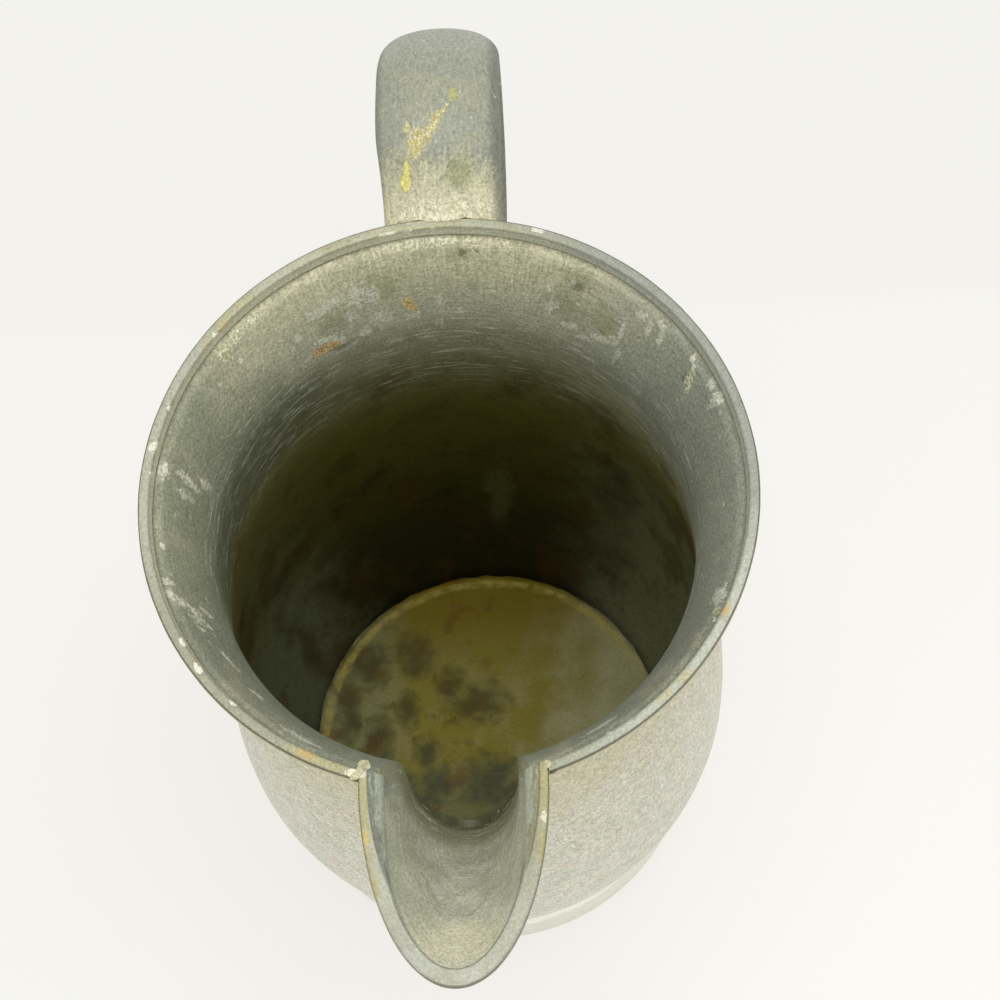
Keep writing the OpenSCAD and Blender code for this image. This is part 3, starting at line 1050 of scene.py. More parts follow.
def parts_of(vector):
    """The three parts of a vector."""
    x = vector.node("SeparateXYZ", {}, {0: vector})
    return x, x.output(1), x.output(2)


def radius_of(x, y):
    """How far a place is from the middle."""
    return (x * x + y * y) ** 0.5


def stretch(vector, by, shift=(0, 0, 0)):
    """A place with each axis scaled, and then shifted."""
    return vector.node("VectorMath", {"operation": "MULTIPLY_ADD"}, {0: vector, 1: by, 2: shift})


def ring_of(spot, radius):
    """Coordinates that run round the axis at one radius, so a pattern keeps its scale all the way up."""
    x, y, z = parts_of(spot)
    r = radius_of(x, y) / radius
    return spot.node("CombineXYZ", {}, {0: x / r, 1: y / r, 2: z}), z


# %% Edges, clouds and specks
def soft(value, low, high):
    """0 up to low, 1 from high, and an eased edge between. low may be the larger."""
    kind = {"interpolation_type": "SMOOTHSTEP"}
    if low < high:
        return value.node("MapRange", kind, {"Value": value, "From Min": low, "From Max": high})
    return value.node(
        "MapRange", kind, {"Value": value, "From Min": high, "From Max": low, "To Min": 1.0, "To Max": 0.0}
    )


def cloud(vector, size, detail=3.0, rough=0.5, twist=0.0, out=0):
    """Noise from 0 to 1 whose clouds are about a size in millimetres."""
    return vector.node("TexNoise", {}, {
        "Vector": vector, "Scale": 1 / size, "Detail": detail, "Roughness": rough, "Distortion": twist
    }, out=out)


def ragged(spot, size, amount):
    """A place pushed about by noise, which makes the edges of stains ragged."""
    noise = cloud(spot, size, 4, 0.6, out=1)
    push = spot.node("VectorMath", {"operation": "SUBTRACT"}, {0: noise, 1: (0.5,) * 3})
    return stretch(push, (amount,) * 3, spot)


def most(masks):
    """The strongest of several masks. Each is joined once it is made, to keep the shader's memory small."""
    top = None
    for mask in masks:
        top = mask.math("MAXIMUM", top, mask) if top else mask
    return top


def specks(spot, size, share, grain=0.32):
    """Small separate dots: about one cell of a size in so many holds a dot."""
    cell = spot.node("TexVoronoi", {}, {"Vector": spot, "Scale": 1 / size, "Randomness": 1.0})
    chosen = spot.node("SeparateColor", {}, {0: cell.output("Color")})
    return soft(cell, grain, grain * 0.5) * soft(chosen, 1 - share, 1 - share * 0.7)


def strokes(spot, radius, length, width):
    """Short strokes that run round the axis, the coordinates they lie in, and the height."""
    ring, z = ring_of(spot, radius)
    wide = cloud(stretch(ring, (1 / length, 1 / length, 1 / width)), 1, 3, 0.6)
    return wide, ring, z


# %% [markdown]
# A stain is an ellipsoid at a place on the metal. The space round it is stretched, so that it fades
# out one unit from its middle. Noise then tears its edge.

# %% Stains
STAIN_REACH, AT_EDGE = 1.5, 0.33
WALL_DEPTH, RIM_DEPTH = 2.5, 3


def stain(spot, centre, size, angle=0.0, lean=0.0):
    """1 in an ellipsoid's middle and a third at its edge. Its size is out from the axis, round it and up."""
    stretched = spot.node("Mapping", {"vector_type": "TEXTURE"}, {
        "Vector": spot, "Location": centre, "Rotation": (radians(lean), 0, radians(angle)),
        "Scale": [half * STAIN_REACH for half in size]
    })
    return spot.node("TexGradient", {"gradient_type": "SPHERICAL"}, {0: stretched}, out="Fac")


def flakes(inward, noise, torn=0.9, edge=0.1):
    """A stain's mask with an edge torn by noise, and with holes where the noise is low."""
    return soft(inward + (noise - 0.5) * torn, AT_EDGE - edge, AT_EDGE + edge) * soft(inward, 0.0, 0.12)


def inner_spot(angle, z):
    """A place on the inside of the neck."""
    r = body_r(z) - WALL
    return r * cos(radians(angle)), r * sin(radians(angle)), z


def wall_stains(spot, rows):
    """Stains inside the neck, each given as its angle, height, half width, half height and lean."""
    return most(
        stain(spot, inner_spot(angle, z), (WALL_DEPTH, across, up), angle, lean)
        for angle, z, across, up, lean in rows
    )


def rim_stains(spot, rows):
    """Stains on the bands, each given as its angle, distance from the axis, half length and half width."""
    return most(
        stain(spot, (r * cos(radians(a)), r * sin(radians(a)), POT_H), (across, along, RIM_DEPTH), a)
        for a, r, along, across in rows
    )


print("a stain behind the throat lies at", [round(v, 1) for v in inner_spot(90, THROAT_H)])

# %% Begin and end a finish
def new_finish(name):
    """An empty material, a wire that adds nodes to it, and its coordinates in millimetres."""
    material = bpy.data.materials.new(name)
    material.use_nodes = True
    material.node_tree.nodes.clear()
    w = Wire(material.node_tree)
    return material, w, spot_of(w)


def noises(spot, broad, crusty=0.9):
    """Three noises: broad clouds of a size, fine grit, and the crust that tears the edges of stains."""
    return cloud(spot, broad, 4, 0.6), cloud(spot, 0.5, 2, 0.7), cloud(spot, crusty, 4, 0.7)


def end_finish(w, colour, rough, height, metal=0.5, bump=0.12):
    """Join a colour, a roughness and a height in millimetres to one shader."""
    normal = w.node("Bump", {}, {"Strength": 1.0, "Distance": bump * MM, "Height": height})
    shader = w.node("BsdfPrincipled", {}, {
        "Base Color": colour, "Roughness": rough, "Metallic": metal, "Normal": normal
    })
    w.node("OutputMaterial", {}, {0: shader})
    print("a finish of", len(w.tree.nodes), "nodes")


def dress(piece, *materials):
    """Give a piece its finishes."""
    piece.data.materials.clear()
    for material in materials:
        piece.data.materials.append(material)


# %% [markdown]
# ## The outside of the body
#
# The outside was never polished, so it has a fine pebbly grain like leather. Age left it a light
# grey, warmer under the rim, with pinkish and greenish clouds and a few faint brown arcs that run
# round it.

# %% Finish of the outside
outside, w, spot = new_finish("pebbled outside")
grain, ring, z = strokes(spot, 50, 3.0, 1.2)
pebble = cloud(spot, 0.85, 3, 0.62, twist=1.2)
clouding = cloud(spot, 9, 4, 0.65)
tint = cloud(spot, 4.5, 3, 0.6)
colour = glaze((214, 206, 170), (226, 224, 210), soft(z + (clouding - 0.5) * 60, 132, 74))
colour = glaze(colour, (204, 209, 188), soft(tint, 0.52, 0.68) * 0.55)
colour = glaze(colour, (222, 206, 190), soft(tint, 0.46, 0.34) * 0.5)
arcs = soft(cloud(stretch(ring, (0.3, 0.3, 1)), 7, 4, 0.7), 0.58, 0.74)
colour = glaze(colour, (176, 166, 130), arcs * 0.3)
colour = glaze(colour, (168, 166, 144), soft(pebble, 0.4, 0.26) * 0.5)
colour = glaze(colour, (240, 237, 214), soft(pebble, 0.58, 0.74) * 0.55)
grit = cloud(spot, 0.5, 2, 0.7)
folds = cloud(spot, 1.3, 2, 0.5, twist=0.8) - 0.5
worm = soft(folds.math("ABSOLUTE", folds), 0.05, 0.0)
colour = glaze(colour, (152, 148, 118), worm * soft(z + (clouding - 0.5) * 60, 10, 90) * 0.4)
# Towards the foot the outside is painted lighter: painted light, as bounced up from the white paper.
colour = glaze(colour, (248, 246, 236), soft(z + (clouding - 0.5) * 30, 46, 8) * 0.7)
colour = shade(colour, -0.16 + grain * 0.3 + pebble * 1.16 + grit * 0.9)
end_finish(w, colour, 0.46 + pebble * 0.2, pebble + grit * 0.8, bump=0.2)

# %% [markdown]
# ## The inside of the neck
#
# Looking into the mouth, one sees most of the story here. The flare under the rim is rubbed light and
# warm. Towards the throat it turns grey, and below the throat it is olive and brown to nearly black.
# This darkening is partly what years of drink left and partly painted shade that deepens down into
# the body. So the ground colour is a ramp on the height, with noise added to the height so that the
# steps are ragged. The stains are placed one by one where they are on the pitcher. Those near the
# top cross onto the rim band, so their lists serve both finishes.

# %% Stains on the rim band
# Each stain is its angle, its distance from the axis, half its length and half its width.
RIM_CREAM = [
    (138.5, 52.3, 3.6, 1.5), (133, 52.6, 2.4, 1.0), (144, 51.6, 1.8, 1.5), (100, 51.6, 3.2, 1.1),
    (94.5, 51.3, 2.8, 1.4), (-43, 52.9, 1.6, 1.0), (-48, 52.8, 1.6, 0.9), (-117, 52.9, 3.2, 1.1),
    (-112, 52.9, 3.4, 1.1), (-108.5, 52.8, 1.8, 1.1), (-80, 53, 5, 1.3), (-28, 51.4, 1.3, 1.4),
]
RIM_WHITE = [
    (71, 53.4, 1.1, 0.6), (101, 51.8, 1.6, 0.6), (97, 51.6, 1.3, 0.6), (92, 51.4, 1.0, 0.7),
    (142, 51.6, 0.7, 1.0), (168.5, 52.6, 1.0, 0.8), (174, 51.8, 0.5, 0.4), (-150, 52.4, 0.9, 0.5),
    (-144, 52.6, 1.0, 0.6), (-30, 51.6, 1.1, 0.6), (-60, 51.8, 0.6, 0.6), (-108, 53, 1.2, 0.6),
    (160, 52, 0.5, 0.6), (-134, 52.1, 0.8, 0.5),
]
RIM_RUST = [
    (-117.5, 52.7, 1.5, 0.9), (-28, 52.3, 1.2, 0.9), (99.6, 51.7, 0.7, 0.6), (139.5, 51.9, 1.2, 0.5),
]
YELLOW = (206, 200, 146)
OCHRE = (236, 212, 150)
RUST_BROWN = (218, 172, 96)
CHALK = (240, 238, 218)

print("stains on the band:", len(RIM_CREAM + RIM_WHITE + RIM_RUST))

# %% Stains inside the neck
# Each stain is its angle, its height, half its width, half its height and its lean.
FILMS = [
    (121, 141.0, 1.6, 0.7, 8), (117, 141.6, 2.6, 0.8, 4), (111, 140.8, 1.5, 2.2, 0),
    (107, 140, 1.3, 2.0, 0), (113, 136.8, 0.9, 1.6, 0), (106.5, 133.5, 2.0, 2.0, 0),
    (99, 132.6, 1.3, 1.2, 0), (104.5, 125.8, 1.9, 0.9, 0), (92, 135.4, 0.9, 1.4, 0),
    (92.5, 129, 0.9, 1.4, 0), (87, 132.6, 0.6, 1.0, 0), (65, 138, 1.0, 2.2, 30),
    (60, 134.8, 1.8, 0.8, -20), (56, 133.4, 1.8, 0.6, -10), (52, 135.6, 2.2, 0.8, -14),
    (48.5, 137.4, 0.9, 1.0, 0), (46.6, 134, 0.5, 2.6, 10), (47.2, 140.6, 0.6, 3.0, 0),
    (44, 146, 1.4, 0.8, -30), (41.5, 145, 0.7, 1.8, 0), (39, 147.2, 1.2, 0.8, 0),
    (38, 145.2, 0.6, 1.8, 0), (19, 147.6, 0.8, 2.4, 0), (22, 148, 0.9, 0.9, 0), (172, 148, 1.6, 1.4, 0),
    (170.5, 141.8, 0.8, 4.2, 8), (174, 142, 0.9, 2.4, 0), (168.5, 136.5, 0.9, 2.2, 0),
    (-164, 148, 0.7, 1.6, 0), (-160, 146.2, 1.0, 3.0, 20), (-157, 143, 1.6, 2.2, 20),
    (-159, 139, 0.6, 1.8, 20), (-146, 140.4, 2.2, 0.8, -20), (-136, 141, 1.6, 0.7, -20),
    (-24, 147, 1.6, 2.2, 0), (-60, 144, 3.0, 1.0, 0), (-121, 146, 3.4, 1.2, 0),
]
CHALKS = [
    (127, 138.8, 0.9, 0.9, 0), (129, 137.2, 0.5, 0.5, 0), (121.5, 134.8, 1.7, 0.7, 8),
    (118.6, 134.0, 0.9, 1.0, 0), (117, 132.4, 0.6, 1.0, 0), (111, 131.8, 1.2, 1.3, 0),
    (88, 132, 0.7, 0.5, 0), (80, 127.5, 0.8, 0.4, 0), (29, 147.7, 0.6, 0.7, 0),
    (27.6, 146.8, 0.45, 0.7, 0), (59, 140.5, 0.4, 0.4, 0), (66.5, 141.6, 0.5, 0.7, 0),
    (61, 144.5, 0.5, 0.5, 0), (171.6, 147.6, 0.9, 0.8, 0), (170.6, 141, 0.35, 2.2, 8),
    (168.4, 137.4, 0.35, 1.6, 14), (-161.5, 148.4, 0.6, 0.7, 0), (-159.6, 146.0, 0.5, 0.8, 20),
    (-158, 143.4, 0.5, 0.9, 20), (-154, 143.6, 0.4, 1.2, 24), (-155, 140.2, 0.45, 1.0, 24),
    (-172, 147.4, 0.6, 0.8, 0), (141, 143.6, 0.45, 0.5, 0), (148, 143.8, 0.45, 0.5, 0),
    (18, 148.0, 0.6, 1.0, 0),
]
RUSTS = [
    (122.3, 132.6, 2.1, 1.3, 0), (119.6, 132.4, 1.4, 1.1, 0), (99.5, 136.2, 1.1, 1.2, 0),
    (98.6, 134.7, 0.9, 0.8, 0),
]
LICHENS = [
    (27, 144.4, 0.8, 1.7, 0), (25.8, 142.2, 0.45, 1.4, 0), (90.6, 148.2, 2.4, 0.9, 0),
    (96, 148.0, 2.6, 1.0, 0), (84, 147.6, 1.2, 1.4, 0), (77, 148.4, 1.5, 0.8, 0),
    (139, 147.6, 1.8, 1.2, 0), (134, 147.6, 1.6, 1.0, 0), (143, 146.8, 1.2, 1.6, 0),
]
OLIVES = [
    (118, 137.4, 2.6, 2.6, 0), (61, 139.5, 4.0, 3.4, 0), (52, 140, 3.0, 3.4, 0),
    (60, 145.5, 3.0, 2.0, 0), (104, 141, 2.6, 3.6, 0), (86, 145.6, 1.2, 0.9, 0),
]
CRUMBS = [
    (119.4, 131.2, 0.7, 0.5, 0), (117.5, 130.6, 1.3, 0.35, 0), (60, 144, 1.2, 0.8, 0),
    (86, 146, 0.6, 0.6, 0), (83, 146.4, 0.4, 0.5, 0), (28.4, 143.6, 0.4, 1.0, 0),
]

# %% Ground colour of the inside
# Each step of the ground is a height and a colour.
inside, w, spot = new_finish("stained inside with painted shade")
torn = ragged(spot, 1.1, 1.0)
THROAT_RING = 48
grain, ring, z = strokes(spot, THROAT_RING, 3.6, 0.55)
x_share, y_share = (part / THROAT_RING for part in parts_of(ring)[:2])
clouding, grit, crust = noises(spot, 9)
LOW_Z, HIGH_Z = 5.0, 150.0
# The ramp darkens downwards: partly the stains of drink, partly painted shade deep in the body.
GROUND_STAINS_AND_SHADE = [
    (5, (44, 42, 12)), (30, (60, 58, 20)), (48, (94, 92, 34)), (66, (114, 110, 44)),
    (84, (128, 122, 54)), (98, (138, 134, 76)), (110, (158, 157, 114)), (119, (178, 179, 146)),
    (127, (190, 191, 164)), (134, (200, 201, 176)), (142, (216, 214, 184)), (149, (226, 221, 190)),
]
climb = (z + (clouding - 0.5) * 8 - LOW_Z) / (HIGH_Z - LOW_Z)
steps = [((h - LOW_Z) / (HIGH_Z - LOW_Z), paint(*numbers)) for h, numbers in GROUND_STAINS_AND_SHADE]
colour = w.node("ValToRGB", {"stops": steps}, {0: climb})
print("the ground has", len(steps), "colours from", LOW_Z, "to", HIGH_Z, "mm")

# %% Broad clouds of the inside
up_here = soft(z, 112, 130)
aside = soft(y_share + (clouding - 0.5) * 0.5, 0.85, 0.35)
colour = glaze(colour, (152, 159, 136), aside * up_here * 0.75)
to_right = soft(x_share + (clouding - 0.5) * 0.4, 0.3, 0.9)
to_left = soft(x_share + (clouding - 0.5) * 0.3, -0.3, -0.8)
colour = glaze(colour, (160, 164, 152), to_right * up_here * 0.65)
colour = glaze(colour, (134, 134, 88), aside * soft(z, 100, 74) * 0.85)
colour = glaze(colour, (158, 164, 134), to_right * soft(z, 96, 60) * 0.85)
colour = glaze(colour, (134, 142, 116), to_left * aside * soft(z, 66, 30) * 0.8)
colour = glaze(colour, (100, 106, 82), to_left * soft(z, 134, 122) * soft(z, 104, 112) * 0.6)
colour = glaze(colour, (140, 146, 132), soft(y_share, -0.1, -0.6) * up_here * 0.5)
brown = soft(cloud(stretch(spot, (1, 1, 0.6)), 13, 4, 0.6), 0.5, 0.64)
colour = glaze(colour, (92, 66, 20), soft(z, 122, 100) * brown * 0.55)
dregs = flakes(stain(spot, inner_spot(84, 38), (3, 9, 12)), cloud(spot, 5, 3, 0.5), 1.6, 0.4)
colour = glaze(colour, (116, 116, 70), dregs * 0.7)
colour = glaze(colour, (36, 38, 18), soft(z, 106, 70) * soft(cloud(spot, 15, 3, 0.5), 0.5, 0.74) * 0.5)
blush = soft(z, 134, 144) * soft(cloud(stretch(ring, (1, 1, 0.5)), 8, 3, 0.6), 0.5, 0.7)
colour = glaze(colour, (212, 200, 172), blush * 0.35)
print("nodes so far:", len(w.tree.nodes))

# %% [markdown]
# Over the broad clouds lie the marks: olive and white films, short scratches at the throat that run
# round it, small dots, and last the crusts of cream, rust and chalk. Each crust's edge is torn by
# the same noise, so they look like flakes of one kind.

# %% Films and scratches of the inside
olive = flakes(wall_stains(torn, OLIVES), cloud(spot, 1.4, 5, 0.7), 3.0, 0.4)
colour = glaze(colour, (160, 161, 122), olive * 0.55)
hatch = soft(cloud(stretch(ring, (1.6, 1.6, 0.22)), 1, 3, 0.6), 0.42, 0.62)
colour = glaze(colour, (176, 176, 140), hatch * soft(z, 132, 142) * soft(y_share, 0.7, 0.92) * 0.5)
film = flakes(wall_stains(torn, FILMS), crust, 2.8, 0.14)
colour = glaze(colour, (232, 232, 214), film * (0.1 + grit * 1.1))
dots = specks(spot, 2.2, 0.3, 0.22) * soft(z, 124, 130) * soft(y_share, 0.9, 0.6)
dashes = specks(stretch(ring, (0.36, 0.36, 1.1)), 1.5, 0.5, 0.34) * soft(z, 112, 120) * soft(z, 136, 129)
colour = glaze(colour, (214, 216, 200), most([dots, dashes * soft(crust, 0.4, 0.54)]) * 0.7)
scratch = soft(cloud(stretch(ring, (0.11, 0.11, 2.6), (6, 11, 0)), 1, 4, 0.62), 0.54, 0.62)
broken = scratch * soft(z, 94, 112) * soft(z, 140, 128)
lit = broken * soft(cloud(stretch(ring, (0.22, 0.22, 0.5)), 1, 3), 0.4, 0.54)
colour = glaze(colour, (236, 237, 222), lit * 0.9)
print("nodes so far:", len(w.tree.nodes))

# %% Crusts of the inside
lichen = flakes(most([wall_stains(torn, LICHENS), rim_stains(torn, RIM_CREAM)]), crust, 3.4, 0.16)
colour = glaze(colour, glaze(YELLOW, CHALK, soft(grit, 0.4, 0.6)), lichen * 0.75)
chalk = flakes(most([wall_stains(torn, CHALKS), rim_stains(torn, RIM_WHITE)]), crust, 2.2, 0.14)
rust = flakes(wall_stains(torn, RUSTS), crust, 2.0, 0.16)
colour = glaze(colour, glaze(RUST_BROWN, OCHRE, soft(grit, 0.36, 0.56)), rust * 0.9)
colour = glaze(colour, CHALK, chalk * 0.85)
colour = glaze(colour, (66, 62, 36), flakes(wall_stains(torn, CRUMBS), crust, 2.2, 0.25) * 0.45)
# The top of the inner wall under the band is painted darker: painted shade in the gap under the band.
ledge_gap_shade = soft(z + (crust - 0.5) * 0.3, NECK_TOP_H - 0.7, NECK_TOP_H - 0.2)
colour = glaze(colour, (138, 136, 112), ledge_gap_shade * 0.85)
colour = shade(colour, grain * 0.5 + grit * 1.5)
end_finish(w, colour, 0.5 + clouding * 0.25, grain * 0.5 + grit * 0.7 + crust * 0.3, bump=0.12)

# %% [markdown]
# ## The spout
#
# The trough carries the marks of the rag that polished it, in curves like the spout's own edge. So
# its scratches run along rings that are flattened in the way the edge is. Each place on the spout is
# given its distance from the band's inner line, in millimetres, and how far round towards the tip it
# is, as a sine.

# %% Coordinates of the spout
def spout_place(spot):
    """Millimetres outside the band's inner line, the sine of the turn to the tip, rings, x, y and z."""
    x, y, z = parts_of(spot)
    across, along = x / LIP_INNER, (y + LIP_ROOT_Y) / LIP_REACH
    rings = radius_of(across, along)
    sine = along * -1 / rings
    per_mm = (1 - sine * sine) / LIP_INNER + sine * sine / LIP_REACH
    return (rings - 1) / per_mm, sine, rings, x, y, z


# %% Finish of the spout
sheet, w, spot = new_finish("scratched sheet with painted light and shade")
side, sine, rings, x, y, z = spout_place(spot)
clouding, grit, crust = noises(spot, 7)
lines = w.node("CombineXYZ", {}, {0: rings * 30 + clouding * 1.2, 1: x * 0.16, 2: z * 0.1})
wisps = cloud(lines, 1, 4, 0.65)
colour = glaze((208, 210, 190), (226, 226, 208), soft(clouding, 0.4, 0.62))
# The sheet is painted lighter towards the tip, with a pale patch at the tip: painted light.
painted_tip_light = stain(ragged(spot, 3, 3), (0.4, -77.5, 146), (5.5, 5, 9))
colour = glaze(colour, (236, 232, 206), soft(y + (clouding - 0.5) * 12, -69, -78) * 0.6)
colour = glaze(colour, (246, 240, 212), soft(painted_tip_light + (clouding - 0.5) * 0.5, 0.0, 0.6) * 0.8)
# Low in the trough the sheet is painted darker: painted shade.
colour = glaze(colour, (186, 184, 148), soft(z + (clouding - 0.5) * 12, 122, 108) * 0.7)
colour = glaze(colour, (246, 247, 232), soft(wisps, 0.53, 0.66) * soft(crust, 0.4, 0.56) * 0.75)
colour = glaze(colour, (176, 178, 156), soft(wisps, 0.44, 0.36) * (1 - soft(painted_tip_light, 0.0, 0.5) * 0.6) * 0.45)
upper_edge = soft(side + clouding * 1.6, -1.6, 0.6) * soft(y, -54, -64) * soft(sine, 0.85, 0.5)
colour = glaze(colour, (190, 196, 180), upper_edge * 0.7)
print("nodes so far:", len(w.tree.nodes))

# %% [markdown]
# Where the trough meets the neck it is painted darker, painted shade at its root, and it is scratched
# along the joint. This needs to know how deep a place lies in the wall of the body, so each point of
# the mesh carries that depth.

# %% The spout near the notch
depth = w.node("Attribute", {"attribute_name": "depth"}, out="Fac")
# Painted shade, deepest where the trough meets the neck.
near = depth - (z - NOTCH_H - 9) * 0.2 + (clouding - 0.5) * 8 + (crust - 0.5) * 3
colour = glaze(colour, (164, 163, 130), soft(near, -10, -4) * 0.75)
colour = glaze(colour, (116, 116, 88), soft(near, -1.6, 1.0) * 0.85)
along = w.node("CombineXYZ", {}, {0: depth * 1.5 + clouding * 2, 1: x * 0.16, 2: z * 0.12})
arcs = soft(cloud(along, 1, 4, 0.65), 0.54, 0.64) * soft(depth, -10, -6) * soft(depth, 1.6, 0.6)
colour = glaze(colour, (240, 240, 222), arcs * soft(crust, 0.38, 0.52) * 0.9)
corner = soft(z, 140, 147) * soft(depth, -4, -1)
colour = glaze(colour, (190, 186, 150), corner * (0.5 + clouding * 0.7))
beside = soft(depth + (clouding - 0.5) * 4, -5, -2) * soft(depth, 0.4, -1) * soft(z, 138, 145)
colour = glaze(colour, (152, 162, 162), beside * 0.6)
# The bottom of the notch is painted dark: painted shade in the crease.
colour = glaze(colour, (96, 94, 70), soft(z, NOTCH_H + 3, NOTCH_H + 1) * soft(depth, -1, 0.4) * 0.9)
colour = glaze(colour, CHALK, specks(spot, 1.8, 0.16, 0.24) * 0.6)
colour = shade(colour, 0.18 + grit * 1.3 + crust * 0.34)
end_finish(w, colour, 0.46 + clouding * 0.2, grit * 0.8 + wisps * 0.4, bump=0.1)
dress(spout, sheet)


# %% Write the depth in the wall
def lay_depth(piece):
    """Write how deep each point lies under the body's outer face, in millimetres, for its finish to read."""
    layer = piece.data.attributes.new("depth", "FLOAT", "POINT")
    for vertex, value in zip(piece.data.vertices, layer.data):
        at = vertex.co / MM
        value.value = body_r(min(at.z, NECK_TOP_H)) - hypot(at.x, at.y)


for piece in (neck, spout):
    lay_depth(piece)


# %% Dress the body's shells
def sort_faces(piece):
    """Give the inner faces of a shell its second finish, and the cut faces of the notch its third."""
    counts = [0, 0, 0]
    for face in piece.data.polygons:
        at = face.center / MM
        r = hypot(at.x, at.y)
        depth = body_r(min(at.z, NECK_TOP_H)) - r
        facing = (face.normal.x * at.x + face.normal.y * at.y) / r
        beside_notch = at.y < 0 and abs(at.x) < NOTCH_TOP_W * 0.55 and at.z > NOTCH_H - 3
        if facing > 0.5 and depth < 0.4:
            face.material_index = 0
        elif beside_notch and (facing > -0.5 or depth < WALL - 0.4):
            face.material_index = 2
        elif depth > WALL * 0.65 or at.z > NECK_TOP_H - 0.3:
            face.material_index = 1
        counts[face.material_index] += 1
    print(piece.name, "faces outside, inside and in the notch:", counts)


dress(neck, outside, inside, sheet)
dress(belly, outside, inside)
for shell in (neck, belly):
    sort_faces(shell)

# %% [markdown]
# ## The floor plate
#
# Dregs dried on the floor. It is khaki, with dark blotches and a paler ragged edge where the solder
# ran. The light falls straight down on it, so it shows lighter than the wall round it.

# %% Finish of the floor
bottom, w, spot = new_finish("dregs on the floor")
torn = ragged(spot, 5, 5)
x, y, z = parts_of(spot)
r = radius_of(x, y)
clouding = cloud(spot, 8, 5, 0.6)
grit = cloud(spot, 0.6, 3, 0.65)
crust = cloud(spot, 3.2, 3, 0.5)
colour = glaze((144, 134, 48), (152, 144, 82), soft(clouding, 0.42, 0.62))
colour = glaze(colour, (134, 116, 4), soft(y + (clouding - 0.5) * 22, 14, 34) * 0.9)
colour = glaze(colour, (192, 188, 148), soft(x - y * 0.25 + (clouding - 0.5) * 34, 2, 34) * 0.78)
colour = glaze(colour, (144, 146, 106), soft(x + (clouding - 0.5) * 16, -16, -30) * 0.7)
colour = glaze(colour, (126, 128, 92), soft(y + (clouding - 0.5) * 20, -4, -22) * 0.7)
# Each blot is its place and its half sizes.
BLOTS = [
    (-17.3, 21, 4, 5), (-28, 19, 4.5, 5), (-3.4, 8.5, 6.5, 4.5), (-19.4, 7, 2.6, 4), (-12, -11, 4, 4.5),
    (0, -11, 6.5, 6), (-26, 0, 3, 5), (-33, 8, 2.5, 7), (-15, -3, 3, 3), (-9, 14, 3, 4),
    (-20, -14, 3, 5), (4, -24, 9, 8), (-14, -26, 7, 6),
]
blots = flakes(most(stain(torn, (bx, by, FLOOR_TOP), (a, b, 6)) for bx, by, a, b in BLOTS), crust, 1.5, 0.6)
colour = glaze(colour, glaze((76, 72, 26), (74, 82, 64), soft(y, 4, -12)), blots * 0.85)
colour = glaze(colour, (112, 78, 26), soft(cloud(spot, 5, 3, 0.5), 0.52, 0.68) * soft(x, 12, -4) * 0.5)
ring_edge = soft(r + (cloud(spot, 4, 3, 0.6) - 0.5) * 2, 37.2, 38.2) * soft(r, 39.6, 38.9)
colour = glaze(colour, (200, 182, 92), ring_edge * soft(crust, 0.3, 0.6) * soft(y - x * 0.4, -10, 16) * 0.7)
colour = shade(colour, 0.5 + grit * 0.7 + clouding * 0.3)
end_finish(w, colour, 0.6 + clouding * 0.2, grit + blots * 0.6, metal=0.4, bump=0.12)
dress(floor_disc, bottom)

# %% [markdown]
# ## The foot and the bands
#
# The foot is painted near white, which is painted light that makes up for the shade in its cove,
# and its outer side is painted darker, which is painted shade. The bands are smooth and rubbed to a
# light grey. Their rounded inner edge and their outer side are painted lighter, which is painted
# light. Their outer corner is painted dark, a painted dark reflection, which draws a thin dark line
# round the mouth.

# %% Finish of the foot
casting, w, spot = new_finish("casting with painted light and shade")
grain, _, z = strokes(spot, 45, 3, 0.8)
clouding = cloud(spot, 6, 4, 0.6)
pebble = cloud(spot, 0.85, 3, 0.62, twist=1.2)
# The casting is painted near white: painted light that makes up for the shade in its cove.
colour = glaze((254, 253, 244), (250, 248, 236), soft(clouding, 0.4, 0.65))
# Its outer side is painted darker: painted shade.
colour = glaze(colour, (228, 227, 214), soft(z, FOOT_H + 0.1, FOOT_H - 0.5) * 0.9)
colour = glaze(colour, (150, 140, 110), soft(z, COLLAR_H - 0.2, COLLAR_H + 0.1) * 0.8)
colour = shade(colour, 0.8 + grain * 0.24 + pebble * 0.4)
end_finish(w, colour, 0.42 + grain * 0.2, grain + pebble * 0.5, metal=0.25, bump=0.1)
dress(foot, casting)

# %% Finish of the rim band
bands, w, spot = new_finish("rubbed rim")
torn = ragged(spot, 1.1, 0.8)
x, y, z = parts_of(spot)
r = radius_of(x, y)
clouding, grit, crust = noises(spot, 5)
colour = glaze((180, 177, 148), (192, 190, 166), soft(clouding, 0.38, 0.62))
cold = soft(x + (clouding - 0.5) * 30, -2, 34)
colour = glaze(colour, (158, 162, 152), cold * 0.85)
colour = glaze(colour, (182, 184, 168), soft(x + (clouding - 0.5) * 30, -20, -44) * 0.7)
colour = glaze(colour, (160, 160, 136), soft(y + (clouding - 0.5) * 24, -4, -26) * soft(x, 30, 10) * 0.7)
colour = glaze(colour, (196, 198, 182), soft(x, 14, 40) * soft(y + (clouding - 0.5) * 10, 0, -20) * 0.8)
colour = glaze(colour, (146, 146, 122), soft(cloud(spot, 2.2, 4, 0.65), 0.55, 0.7) * 0.5)
colour = glaze(colour, (186, 180, 132), flakes(rim_stains(torn, RIM_CREAM), crust, 2.4, 0.35) * 0.6)
colour = glaze(colour, (204, 172, 108), flakes(rim_stains(torn, RIM_RUST), crust, 2.0, 0.25) * 0.7)
colour = glaze(colour, CHALK, flakes(rim_stains(torn, RIM_WHITE), crust, 2.2, 0.14) * 0.85)
